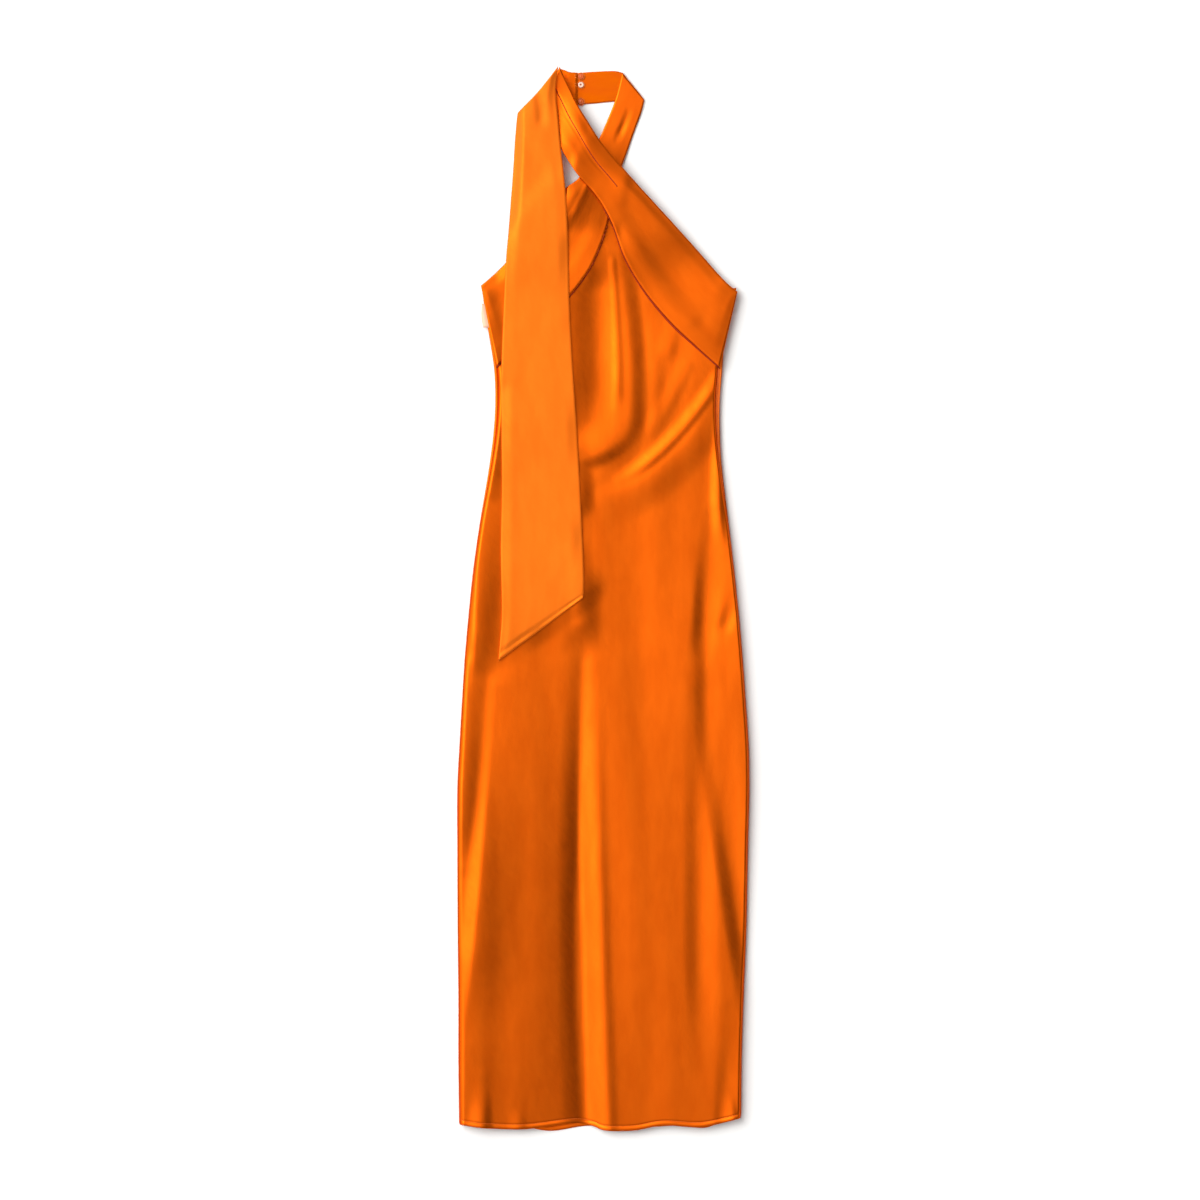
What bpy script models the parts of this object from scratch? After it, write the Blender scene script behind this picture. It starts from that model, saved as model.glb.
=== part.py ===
"""Halter dress of orange satin, laid flat on its back on a level surface.

+X runs to the right of the dress as seen from above, +Y up to its neck and +Z up off the surface, which is
z = 0. The origin is the centre of the dress in plan. Sizes below are in millimetres and become metres where
a mesh is made. Each piece is a wall of cloth that lies on what is under it: a bed keeps the heights of the
pieces laid so far, and the next piece takes its underside from the bed and from its own folds.
"""

import math
from collections import namedtuple

import bpy
import numpy as np

MM = 0.001

# Cloth
WALL = 1.2
SEAM_GAP = 0.3
RIBBON_WALL = 0.6

# The bed, which holds every piece with some room around it
BED_HALF_WIDTH = 215.0
BED_HALF_LENGTH = 740.0
BED_STEP = 2.0

# How high the front stands off the back, and how soon it comes down to the seam at a side
FRONT_PUFF = 2.5
SEAM_FALL = 16.0

# The strip of the back that shows outside the front's edge at the waist, and how far up and down it shows
STRIP_RIGHT = 6.0
STRIP_LEFT = 3.5
STRIP_TOP = 330.0
STRIP_END = 95.0
EDGE_INSET = 0.6

# The shallow dip of the back's hidden top edge, and the depth of the hem's waves
BACK_TOP_DIP = 14.0
HEM_REACH = 60.0

# The lengthwise fold of the right strap, as shares of its width from the neck edge, and its ply's height
PLY_RISE = 1.1
PLY_SHARE_TOP = 0.21
PLY_SHARE_END = 0.40
PLY_SOFTNESS = 0.10
PLY_LENGTH_SHARE = 0.40

# How far the neck fold at the scarf's top bows in, and over how many rows the bow dies out
SCARF_TOP_BOW = 4.0
BOW_ROWS = 4

# Neck buttons
BUTTON_DIAMETER = 8.0
BUTTON_HEIGHT = 2.0
BUTTON_EYE = 2.2
BUTTON_SIDES = 20
BUTTON_X = -30.1

# Side outline of the dress, from the hidden top of the back to the hem
Side = namedtuple("Side", "y left right")
SIDES = (
    Side(426, -165.5, 182.0),
    Side(389, -160.5, 175.0),
    Side(351, -154.0, 166.0),
    Side(314, -148.5, 163.0),
    Side(273, -147.0, 159.5),
    Side(232, -149.0, 159.5),
    Side(191, -154.0, 161.5),
    Side(150, -160.5, 166.0),
    Side(109, -167.5, 171.0),
    Side(47, -176.5, 178.5),
    Side(-14, -183.0, 185.0),
    Side(-76, -188.5, 190.5),
    Side(-137, -192.5, 195.0),
    Side(-199, -196.0, 199.0),
    Side(-260, -199.0, 200.0),
    Side(-342, -199.0, 198.0),
    Side(-445, -198.5, 196.0),
    Side(-547, -197.5, 192.0),
    Side(-629, -197.5, 189.5),
    Side(-715, -196.5, 188.5),
)

# The front's upper end, from the point under the crossing down to the waist, tucked under both bust panels
FRONT_TOP = (
    Side(516, -1.5, 19.0),
    Side(492, -9.5, 28.5),
    Side(462, -23.0, 41.0),
    Side(430, -45.0, 61.0),
    Side(403, -68.0, 78.0),
    Side(375, -97.0, 105.0),
    Side(348, -126.0, 135.0),
    Side(331, -140.5, 151.0),
)

# The hem of the front and of the back: how far it hangs below y = -715 at each place across
Wave = namedtuple("Wave", "x drop")
FRONT_HEM = (
    Wave(-197, 1.0),
    Wave(-160, 6.0),
    Wave(-105, 7.5),
    Wave(-42, 0.5),
    Wave(-14, 4.0),
    Wave(3, 9.5),
    Wave(42, 9.5),
    Wave(82, 2.5),
    Wave(126, 5.0),
    Wave(150, 2.0),
    Wave(189, -8.0),
)
BACK_HEM = (
    Wave(-197, 0.0),
    Wave(-110, 6.0),
    Wave(-70, 11.0),
    Wave(-20, 4.0),
    Wave(40, 7.0),
    Wave(100, 4.0),
    Wave(137, 7.0),
    Wave(160, 0.0),
    Wave(189, -10.0),
)

# Folds: a soft ridge through three places, with its height and its half width at the start and the end
Fold = namedtuple("Fold", "name start bend end height half_start half_end")
FRONT_FOLDS = (
    Fold("apex_ridge", (10, 500), (8, 388), (12, 239), 10.0, 9, 22),
    Fold("cowl_left", (-66, 396), (-55, 287), (-25, 218), 5.0, 12, 14),
    Fold("cowl_right", (89, 362), (71, 293), (60, 218), 6.0, 14, 11),
    Fold("waist_fan_1", (150, 306), (74, 224), (-4, 164), 8.0, 6, 14),
    Fold("waist_fan_2", (149, 290), (86, 208), (-4, 134), 8.0, 7, 16),
    Fold("waist_fan_3", (151, 276), (131, 191), (119, 95), 6.0, 8, 16),
    Fold("waist_fan_left", (-140, 306), (-79, 218), (-18, 157), 6.0, 7, 14),
    Fold("hip_right", (163, 109), (161, 27), (149, -69), 5.0, 9, 14),
    Fold("centre_ridge", (-19, -50), (-15, -356), (-1, -735), 12.0, 12, 15),
    Fold("right_of_centre", (12, -50), (34, -356), (38, -735), 5.0, 13, 20),
    Fold("mid_right", (85, -69), (78, -356), (101, -735), 4.0, 19, 21),
    Fold("inner_right", (137, -255), (139, -411), (135, -735), 6.0, 10, 15),
    Fold("edge_right", (144, -137), (176, -315), (184, -602), 7.0, 13, 10),
    Fold("left_diagonal", (-148, -180), (-170, -342), (-187, -534), 8.0, 9, 11),
    Fold("left_mild", (-124, -137), (-124, -411), (-111, -735), 4.0, 16, 20),
    Fold("left_broad", (-79, -96), (-79, -274), (-89, -560), 5.0, 20, 19),
    Fold("left_corner", (-165, -655), (-166, -690), (-168, -735), 5.0, 7, 13),
)
BUST_RIGHT_FOLDS = (
    Fold("upper_roll", (28, 560), (92, 485), (150, 425), 2.5, 10, 16),
    Fold("lower_roll", (30, 520), (70, 445), (120, 385), 2.0, 9, 15),
)
BUST_LEFT_FOLDS = (
    Fold("armhole_roll", (-40, 545), (-90, 480), (-135, 425), 2.0, 9, 14),
    Fold("strap_tuck", (33, 655), (26, 635), (20, 610), 1.5, 7, 9),
)
SCARF_FOLDS = (
    Fold("neck_pleat", (-92, 690), (-95, 640), (-98, 560), 2.0, 10, 14),
    Fold("left_border", (-128, 300), (-129, 130), (-132, -40), 1.5, 9, 10),
    Fold("lifted_corner", (-28, 70), (-28, 35), (-30, 5), 3.5, 9, 15),
)

# Pieces that run along a slant: each section goes from one long edge of the piece to the other
Section = namedtuple("Section", "outer_x outer_y inner_x inner_y")
BUST_LEFT = (
    Section(26.5, 720.5, 56.5, 683.0),
    Section(19.0, 690.0, 52.0, 665.0),
    Section(9.5, 664.0, 43.0, 640.5),
    Section(-6.0, 628.5, 30.0, 603.5),
    Section(-20.5, 603.5, 19.0, 573.5),
    Section(-33.0, 575.5, 11.0, 539.5),
    Section(-52.0, 560.0, 5.5, 510.5),
    Section(-79.5, 527.0, -5.5, 478.0),
    Section(-106.5, 493.0, -22.0, 445.0),
    Section(-131.0, 461.5, -52.0, 407.0),
    Section(-151.5, 441.0, -98.5, 363.0),
    Section(-166.5, 428.0, -145.0, 318.0),
)
BUST_RIGHT = (
    Section(-57.5, 724.0, -89.0, 666.5),
    Section(-46.5, 699.5, -78.0, 647.5),
    Section(-35.5, 676.0, -67.0, 629.5),
    Section(-20.5, 651.5, -56.5, 613.0),
    Section(-6.0, 628.5, -45.0, 594.0),
    Section(9.5, 608.5, -33.5, 577.5),
    Section(26.0, 590.0, -12.5, 554.5),
    Section(50.5, 562.5, 1.5, 534.0),
    Section(78.0, 532.5, 15.0, 506.5),
    Section(105.5, 502.5, 30.0, 465.5),
    Section(132.5, 472.5, 56.0, 422.0),
    Section(153.0, 449.0, 91.5, 379.5),
    Section(169.5, 431.5, 126.0, 346.5),
    Section(183.5, 420.0, 159.5, 316.5),
)
NECK_BAND = (
    Section(-44.0, 719.0, -44.0, 675.5),
    Section(-12.5, 721.5, -12.5, 678.0),
    Section(15.0, 722.5, 15.0, 680.5),
    Section(25.5, 720.5, 52.0, 682.5),
)
NECK_TAB = (
    Section(-79.5, 683.0, -60.0, 726.0),
    Section(-62.0, 677.0, -52.0, 723.5),
    Section(-49.0, 676.5, -46.5, 721.0),
    Section(-35.0, 675.5, -35.0, 720.0),
)
SCARF = (
    Section(-116.5, 663.5, -63.0, 724.5),
    Section(-118.5, 646.0, -64.5, 694.0),
    Section(-120.5, 621.5, -61.5, 658.5),
    Section(-122.5, 587.5, -58.0, 620.0),
    Section(-126.0, 542.0, -52.0, 567.0),
    Section(-129.0, 501.0, -48.5, 512.0),
    Section(-132.5, 459.0, -47.0, 461.5),
    Section(-135.5, 396.0, -45.5, 398.5),
    Section(-138.5, 314.0, -41.0, 314.0),
    Section(-138.5, 232.0, -35.5, 232.0),
    Section(-138.0, 150.0, -31.0, 150.0),
    Section(-139.5, 68.0, -27.5, 74.5),
    Section(-138.0, -17.0, -26.0, 33.5),
    Section(-141.0, -62.0, -26.0, 13.0),
    Section(-143.0, -84.5, -27.0, 2.0),
)
SIDE_ZIP = (
    Section(171.0, 416.0, 180.0, 414.0),
    Section(165.0, 385.0, 174.0, 384.0),
    Section(158.5, 345.0, 165.0, 344.5),
    Section(153.5, 314.0, 162.0, 314.0),
    Section(152.0, 252.0, 158.5, 252.0),
    Section(157.0, 190.0, 160.5, 190.0),
    Section(164.0, 135.0, 167.0, 135.0),
)
HANGER_LOOP = (
    Section(-165.5, 404.0, -148.0, 402.0),
    Section(-166.0, 387.0, -148.0, 386.0),
    Section(-163.5, 371.5, -148.0, 371.5),
)

# How finely the body is divided: across it, and the length of one row above and below a height
BODY_COLUMNS = 30
BODY_ROW_FINE = 15.0
BODY_ROW_LONG = 36.0
FINE_ABOVE = 60.0

# The share of a slanted piece's width over which its folds die out to a sewn edge
EDGE_SHARE = 0.16

# Base colour, roughness and metallic value of each material
Finish = namedtuple("Finish", "colour roughness metallic")
SATIN = Finish((0.87, 0.15, 0.008), 0.38, 0.0)
SATIN_MATT_FACE = Finish((0.78, 0.12, 0.008), 0.55, 0.0)
RIBBON = Finish((0.90, 0.52, 0.40), 0.45, 0.0)
BUTTON_ORANGE = Finish((0.70, 0.12, 0.04), 0.35, 0.0)
BUTTON_PALE = Finish((0.90, 0.62, 0.52), 0.30, 0.0)
ZIP_TAPE = Finish((0.45, 0.06, 0.01), 0.60, 0.0)

Button = namedtuple("Button", "name y finish eye")
BUTTONS = (
    Button("button_1", 715.0, BUTTON_ORANGE, False),
    Button("button_2", 703.5, BUTTON_PALE, True),
    Button("button_3", 680.5, BUTTON_ORANGE, False),
)

# The slanted pieces: how finely each is divided, how softly it bends over what it lies on, and its relief
Piece = namedtuple(
    "Piece", "name sections columns row_length wall finish softness folds edges_lift folded_over bow"
)
ZIP_PIECE = Piece("side_zip", SIDE_ZIP, 1, 30.0, RIBBON_WALL, ZIP_TAPE, 2.0, (), False, False, 0.0)
LOOP_PIECE = Piece("hanger_loop", HANGER_LOOP, 3, 9.0, RIBBON_WALL, RIBBON, 2.0, (), False, False, 0.0)
BAND_PIECE = Piece("neck_band", NECK_BAND, 4, 12.0, WALL, SATIN_MATT_FACE, 4.0, (), False, False, 0.0)
TAB_PIECE = Piece("neck_tab", NECK_TAB, 4, 10.0, WALL, SATIN_MATT_FACE, 4.0, (), False, False, 0.0)
UNDER_PIECE = Piece("bust_left", BUST_LEFT, 8, 9.0, WALL, SATIN, 6.0, BUST_LEFT_FOLDS, False, False, 0.0)
OVER_PIECE = Piece("bust_right", BUST_RIGHT, 8, 9.0, WALL, SATIN, 6.0, BUST_RIGHT_FOLDS, False, True, 0.0)
SCARF_PIECE = Piece(
    "scarf", SCARF, 9, 17.0, WALL, SATIN_MATT_FACE, 16.0, SCARF_FOLDS, True, False, SCARF_TOP_BOW
)


def smooth_step(value):
    """0 up to 0, 1 from 1, and a soft S between."""
    share = np.clip(value, 0.0, 1.0)
    return share * share * (3.0 - 2.0 * share)


def through(points, count):
    """A smooth curve through the points, read at `count` + 1 evenly spaced places."""
    points = np.asarray(points, float)
    before = 2 * points[0] - points[1]
    after = 2 * points[-1] - points[-2]
    padded = np.vstack([before, points, after])
    fine = np.linspace(0, len(points) - 1, 40 * len(points))
    index = np.minimum(fine.astype(int), len(points) - 2)
    t = (fine - index)[:, None]
    p0, p1, p2, p3 = (padded[index + k] for k in range(4))
    squared = (2 * p0 - 5 * p1 + 4 * p2 - p3) * t**2
    cubed = (3 * p1 - p0 - 3 * p2 + p3) * t**3
    curve = 0.5 * (2 * p1 + (p2 - p0) * t + squared + cubed)
    length = np.concatenate([[0], np.cumsum(np.linalg.norm(np.diff(curve, axis=0), axis=1))])
    wanted = np.linspace(0, length[-1], count + 1)
    return np.column_stack([np.interp(wanted, length, column) for column in curve.T])


def fold_height(fold, x, y):
    """The height of one soft ridge over each place."""
    start, bend, end = (np.array(place, float) for place in (fold.start, fold.bend, fold.end))
    control = 2 * bend - (start + end) / 2
    t = np.linspace(0, 1, 33)[:, None]
    line = (1 - t) ** 2 * start + 2 * t * (1 - t) * control + t**2 * end
    best = np.full(np.shape(x), np.inf)
    share = np.zeros(np.shape(x))
    for k in range(len(line) - 1):
        run = line[k + 1] - line[k]
        place = ((x - line[k][0]) * run[0] + (y - line[k][1]) * run[1]) / (run @ run)
        place = np.clip(place, 0, 1)
        distance = np.hypot(x - line[k][0] - place * run[0], y - line[k][1] - place * run[1])
        nearer = distance < best
        best = np.where(nearer, distance, best)
        share = np.where(nearer, (k + place) / (len(line) - 1), share)
    half = fold.half_start + (fold.half_end - fold.half_start) * share
    across = 0.5 + 0.5 * np.cos(math.pi * np.clip(best / (1.6 * half), 0, 1))
    rise = 0.35 + 0.65 * smooth_step(share / 0.2)
    fall = 0.5 + 0.5 * smooth_step((1 - share) / 0.25) if fold.end[1] > -700 else 1.0
    return fold.height * across * rise * fall


def folds_height(folds, x, y):
    return sum(fold_height(fold, x, y) for fold in folds)


def widened(grid, reach):
    """Each place takes the greatest height within reach of it."""
    cells = int(math.ceil(reach / BED_STEP))
    result = grid.copy()
    for down in range(-cells, cells + 1):
        for across in range(-cells, cells + 1):
            if down * down + across * across <= cells * cells:
                result = np.maximum(result, np.roll(grid, (down, across), (0, 1)))
    return result


def softened(grid, reach):
    """A running mean, three times over, along each axis."""
    cells = max(1, int(reach / BED_STEP))
    kernel = np.ones(2 * cells + 1) / (2 * cells + 1)
    for _ in range(3):
        grid = np.apply_along_axis(np.convolve, 0, grid, kernel, "same")
        grid = np.apply_along_axis(np.convolve, 1, grid, kernel, "same")
    return grid


class Bed:
    """The heights of all the cloth laid so far, on a level grid of points."""

    def __init__(self):
        self.x = np.arange(-BED_HALF_WIDTH, BED_HALF_WIDTH + BED_STEP, BED_STEP)
        self.y = np.arange(-BED_HALF_LENGTH, BED_HALF_LENGTH + BED_STEP, BED_STEP)
        self.top = np.zeros((len(self.y), len(self.x)))

    def rest(self, x, y, reach, softness):
        """Where the underside of cloth comes to lie at each place. It clears the bed by the seam gap."""
        held = np.where(self.top > 0, self.top + SEAM_GAP, 0.0)
        clear = widened(held, reach)
        laid = np.maximum(clear, softened(widened(held, reach + softness), softness))
        laid = np.where(laid < 0.02, 0.0, laid)
        column = (x - self.x[0]) / BED_STEP
        row = (y - self.y[0]) / BED_STEP
        left = column.astype(int)
        low = row.astype(int)
        across = column - left
        up = row - low
        lower = laid[low, left] * (1 - across) + laid[low, left + 1] * across
        upper = laid[low + 1, left] * (1 - across) + laid[low + 1, left + 1] * across
        return lower * (1 - up) + upper * up

    def add(self, points, triangles):
        """Raises the bed to these triangles' tops."""
        for corners in points[triangles]:
            low = np.floor((corners[:, :2].min(axis=0) - (self.x[0], self.y[0])) / BED_STEP).astype(int)
            high = np.ceil((corners[:, :2].max(axis=0) - (self.x[0], self.y[0])) / BED_STEP).astype(int) + 1
            rows = slice(low[1], high[1])
            columns = slice(low[0], high[0])
            x, y = np.meshgrid(self.x[columns], self.y[rows])
            a, b, c = corners
            area = (b[0] - a[0]) * (c[1] - a[1]) - (c[0] - a[0]) * (b[1] - a[1])
            if abs(area) < 1e-9:
                continue
            share_b = ((x - a[0]) * (c[1] - a[1]) - (c[0] - a[0]) * (y - a[1])) / area
            share_c = ((b[0] - a[0]) * (y - a[1]) - (x - a[0]) * (b[1] - a[1])) / area
            inside = (share_b >= -0.02) & (share_c >= -0.02) & (share_b + share_c <= 1.02)
            height = a[2] + share_b * (b[2] - a[2]) + share_c * (c[2] - a[2])
            block = self.top[rows, columns]
            self.top[rows, columns] = np.where(inside, np.maximum(block, height), block)


def make_material(name, finish):
    material = bpy.data.materials.new(name)
    material.use_nodes = True
    shader = material.node_tree.nodes["Principled BSDF"]
    shader.inputs["Base Color"].default_value = (*finish.colour, 1.0)
    shader.inputs["Roughness"].default_value = finish.roughness
    shader.inputs["Metallic"].default_value = finish.metallic
    return material


def add_object(name, points, faces, finish):
    """An object of these points, in millimetres, and faces."""
    mesh = bpy.data.meshes.new(name)
    mesh.from_pydata([tuple(point * MM) for point in points], [], [tuple(face) for face in faces])
    mesh.shade_smooth()
    mesh.materials.append(make_material(name + "_finish", finish))
    part = bpy.data.objects.new(name, mesh)
    bpy.context.scene.collection.objects.link(part)
    return part


def grid_triangles(rows, columns):
    """Two triangles for each cell of a grid of points, all facing up."""
    faces = []
    for r in range(rows - 1):
        for c in range(columns - 1):
            corner = r * columns + c
            below = corner + columns
            faces.append((corner, below, below + 1))
            faces.append((corner, below + 1, corner + 1))
    return np.array(faces)


def rim_of(rows, columns):
    """The grid's outer points in order, running the way that its triangles turn."""
    left = [r * columns for r in range(rows)]
    bottom = [(rows - 1) * columns + c for c in range(1, columns)]
    right = [r * columns + columns - 1 for r in range(rows - 2, -1, -1)]
    top = list(range(columns - 2, 0, -1))
    return left + bottom + right + top


def lay_piece(bed, name, plan, under, wall, finish):
    """A wall of cloth over the plan, a grid of places, with its underside at the heights `under`."""
    if np.cross(plan[1, 0] - plan[0, 0], plan[0, 1] - plan[0, 0]) < 0:
        plan = plan[:, ::-1]
        under = under[:, ::-1]
    rows, columns = under.shape
    count = rows * columns
    flat = plan.reshape(-1, 2)
    lower = np.column_stack([flat, under.reshape(-1)])
    upper = lower + (0.0, 0.0, wall)
    face_up = grid_triangles(rows, columns)
    rim = rim_of(rows, columns)
    sides = []
    for here, there in zip(rim, rim[1:] + rim[:1]):
        sides.append((here + count, here, there))
        sides.append((here + count, there, there + count))
    faces = np.vstack([face_up + count, face_up[:, ::-1], sides])
    add_object(name, np.vstack([lower, upper]), faces, finish)
    bed.add(upper, face_up)


def plan_of(sections, columns, row_length, bow):
    """A grid of places over a piece that runs along a slant. The bow moves its first edge's middle inward."""
    outer = np.array([(s.outer_x, s.outer_y) for s in sections])
    inner = np.array([(s.inner_x, s.inner_y) for s in sections])
    middle = (outer + inner) / 2
    rows = int(np.linalg.norm(np.diff(middle, axis=0), axis=1).sum() / row_length)
    edges = through(np.hstack([outer, inner]), rows)
    share = np.linspace(0, 1, columns + 1)[None, :, None]
    plan = edges[:, None, :2] * (1 - share) + edges[:, None, 2:] * share
    inward = (middle[1] - middle[0]) / np.linalg.norm(middle[1] - middle[0])
    dying = np.clip(1 - np.arange(len(plan)) / BOW_ROWS, 0, 1)[:, None, None]
    return plan + bow * dying * np.sin(math.pi * share) * inward


def share_grids(plan):
    """For each place of a plan, its share of the way along the rows and across the columns."""
    rows, columns = plan.shape[:2]
    return np.meshgrid(np.linspace(0, 1, rows), np.linspace(0, 1, columns), indexing="ij")


def body_rows(top):
    """Row heights from the top down to the hem: short rows over the bust and waist, long ones on the skirt."""
    hem = SIDES[-1].y
    upper = np.linspace(top, FINE_ABOVE, int((top - FINE_ABOVE) / BODY_ROW_FINE))
    lower = np.linspace(FINE_ABOVE, hem, int((FINE_ABOVE - hem) / BODY_ROW_LONG))
    return np.concatenate([upper, lower[1:]])


def edge_reader(sides):
    """A function that gives the left and the right edge at any height."""
    curve = through(np.array([(side.y, side.left, side.right) for side in sides]), 240)[::-1]
    return lambda y: (np.interp(y, curve[:, 0], curve[:, 1]), np.interp(y, curve[:, 0], curve[:, 2]))


def hem_drop(waves, x, y):
    """How far the hem's waves carry each place down: all the way at the hem, nothing above its reach."""
    drop = np.interp(x, [wave.x for wave in waves], [wave.drop for wave in waves])
    return drop * smooth_step(1 - (y - SIDES[-1].y) / HEM_REACH)


def body_plan(y, left, right, waves):
    share = np.linspace(0, 1, BODY_COLUMNS + 1)
    x = left[:, None] * (1 - share) + right[:, None] * share
    rows = np.broadcast_to(y[:, None], x.shape)
    return np.dstack([x, rows - hem_drop(waves, x, rows)])


def lay_back(bed):
    """The back lies on the surface. Its hidden top edge dips a little between the underarms."""
    y = body_rows(SIDES[0].y)
    left, right = edge_reader(SIDES)(y)
    plan = body_plan(y, left, right, BACK_HEM)
    middle = (left[:, None] + right[:, None]) / 2
    off_middle = (plan[..., 0] - middle) / ((right - left)[:, None] / 2)
    near_top = smooth_step(1 - (SIDES[0].y - y[:, None]) / (4 * BACK_TOP_DIP))
    plan[..., 1] -= BACK_TOP_DIP * (1 - off_middle**2) * near_top
    lay_piece(bed, "back_body", plan, np.zeros(plan.shape[:2]), WALL, SATIN_MATT_FACE)


def front_edges(y):
    """The front's edges: tucked under the bust above the waist, just inside the back's edges below it."""
    waist = FRONT_TOP[-1].y
    side_left, side_right = edge_reader(SIDES)(y)
    shown = smooth_step((y - STRIP_END) / (STRIP_TOP - STRIP_END)) ** 0.7
    low_left = side_left + EDGE_INSET + STRIP_LEFT * shown
    low_right = side_right - EDGE_INSET - STRIP_RIGHT * shown
    tuck_left, tuck_right = edge_reader(FRONT_TOP)(y)
    return np.where(y > waist, tuck_left, low_left), np.where(y > waist, tuck_right, low_right)


def lay_front(bed):
    y = body_rows(FRONT_TOP[0].y)
    left, right = front_edges(y)
    plan = body_plan(y, left, right, FRONT_HEM)
    x = plan[..., 0]
    to_side = np.minimum(x - left[:, None], right[:, None] - x)
    fall = smooth_step(to_side / SEAM_FALL)
    rest = np.maximum(bed.rest(x, plan[..., 1], BODY_ROW_FINE, 4.0), WALL + SEAM_GAP)
    under = rest + fall * (FRONT_PUFF + folds_height(FRONT_FOLDS, x, plan[..., 1]))
    lay_piece(bed, "front_body", plan, under, WALL, SATIN)


def lay_slanted(bed, piece):
    """A piece that runs along a slant, over whatever lies under it, with its own folds."""
    plan = plan_of(piece.sections, piece.columns, piece.row_length, piece.bow)
    x = plan[..., 0]
    y = plan[..., 1]
    along, across = share_grids(plan)
    cell = max(piece.row_length, np.linalg.norm(plan[:, 1] - plan[:, 0], axis=1).max())
    under = bed.rest(x, y, cell, piece.softness)
    edge = 1.0 if piece.edges_lift else smooth_step(np.minimum(across, 1 - across) / EDGE_SHARE)
    if piece.folds:
        under = under + edge * folds_height(piece.folds, x, y)
    if piece.folded_over:
        under = under + strap_ply(along, across)
    lay_piece(bed, piece.name, plan, under, piece.wall, piece.finish)


def strap_ply(along, across):
    """The rise where the right strap is folded over lengthwise beside its neck edge."""
    share = PLY_SHARE_TOP + (PLY_SHARE_END - PLY_SHARE_TOP) * smooth_step(along / PLY_LENGTH_SHARE)
    beside_neck = smooth_step((share + PLY_SOFTNESS - across) / PLY_SOFTNESS)
    return PLY_RISE * beside_neck * smooth_step((PLY_LENGTH_SHARE - along) / 0.1)


def add_button(bed, button):
    """A turned button, a disc with a soft rim. One with an eye is pierced through its middle."""
    radius = BUTTON_DIAMETER / 2
    base = float(bed.rest(np.array([BUTTON_X]), np.array([button.y]), radius, BED_STEP)[0])
    face = radius * 0.8
    profile = [(face, 0), (radius, 0.25 * BUTTON_HEIGHT), (radius, 0.7 * BUTTON_HEIGHT), (face, BUTTON_HEIGHT)]
    if button.eye:
        profile += [(BUTTON_EYE / 2, 0.75 * BUTTON_HEIGHT), (BUTTON_EYE / 2, 0)]
    size = len(profile)
    points = []
    faces = []
    for step in range(BUTTON_SIDES):
        turn = 2 * math.pi * step / BUTTON_SIDES
        for reach, height in profile:
            points.append((BUTTON_X + reach * math.cos(turn), button.y + reach * math.sin(turn), base + height))
        here = step * size
        there = (step + 1) % BUTTON_SIDES * size
        for k in range(size if button.eye else size - 1):
            up = (k + 1) % size
            faces.append((here + k, there + k, there + up, here + up))
    if not button.eye:
        faces.append([step * size for step in range(BUTTON_SIDES)][::-1])
        faces.append([step * size + size - 1 for step in range(BUTTON_SIDES)])
    add_object(button.name, np.array(points), faces, button.finish)


def main():
    for leftover in list(bpy.data.objects):
        bpy.data.objects.remove(leftover, do_unlink=True)
    bed = Bed()
    lay_back(bed)
    lay_slanted(bed, ZIP_PIECE)
    lay_slanted(bed, LOOP_PIECE)
    lay_front(bed)
    lay_slanted(bed, BAND_PIECE)
    for button in BUTTONS:
        add_button(bed, button)
    lay_slanted(bed, TAB_PIECE)
    lay_slanted(bed, UNDER_PIECE)
    lay_slanted(bed, OVER_PIECE)
    lay_slanted(bed, SCARF_PIECE)


main()
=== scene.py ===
"""Halter dress of orange satin, laid flat on a pale floor and seen from straight above.

+X runs to the right of the dress, +Y up to its neck and +Z up off the floor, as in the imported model. Sizes
in the tables are in millimetres and become metres where a mesh is made. Every piece of cloth is a thin shell
that lies on what is under it: a bed keeps the heights of the pieces laid so far, and the next piece takes its
underside from the bed and from its own folds.
"""

import math
from collections import namedtuple

import bpy
import numpy as np
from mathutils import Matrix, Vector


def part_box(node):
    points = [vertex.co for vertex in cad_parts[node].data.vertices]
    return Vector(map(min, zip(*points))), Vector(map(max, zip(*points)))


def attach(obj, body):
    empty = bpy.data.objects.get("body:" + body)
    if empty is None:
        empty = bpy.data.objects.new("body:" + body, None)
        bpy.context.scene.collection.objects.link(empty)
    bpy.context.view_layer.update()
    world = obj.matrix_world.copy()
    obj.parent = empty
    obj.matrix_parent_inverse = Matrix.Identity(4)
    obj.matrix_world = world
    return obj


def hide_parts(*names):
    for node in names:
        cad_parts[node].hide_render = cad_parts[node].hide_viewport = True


bl_info = {
    "name": "Halter Dress",
    "version": (1, 0, 0),
    "blender": (4, 5, 0),
    "location": "3D View > Sidebar > Dress",
    "description": "Builds a satin halter dress laid flat, with its folds, trim and studio",
    "category": "Object",
}

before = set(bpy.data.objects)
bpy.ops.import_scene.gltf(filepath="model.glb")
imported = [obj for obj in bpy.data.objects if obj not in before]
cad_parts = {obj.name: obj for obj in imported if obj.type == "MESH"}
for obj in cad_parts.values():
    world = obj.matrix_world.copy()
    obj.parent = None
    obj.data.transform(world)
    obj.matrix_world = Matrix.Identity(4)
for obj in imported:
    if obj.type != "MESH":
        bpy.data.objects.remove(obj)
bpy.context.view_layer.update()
BODY = "root"
MM = 0.001


def linear(hex_colour):
    """The linear colour of an sRGB hex value such as #F06A12."""
    channels = [int(hex_colour[k : k + 2], 16) / 255 for k in (1, 3, 5)]
    return tuple(c / 12.92 if c <= 0.04045 else ((c + 0.055) / 1.055) ** 2.4 for c in channels)


# ---------------------------------------------------------------------------------------------------------
# Shape tables, in millimetres
# ---------------------------------------------------------------------------------------------------------

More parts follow.
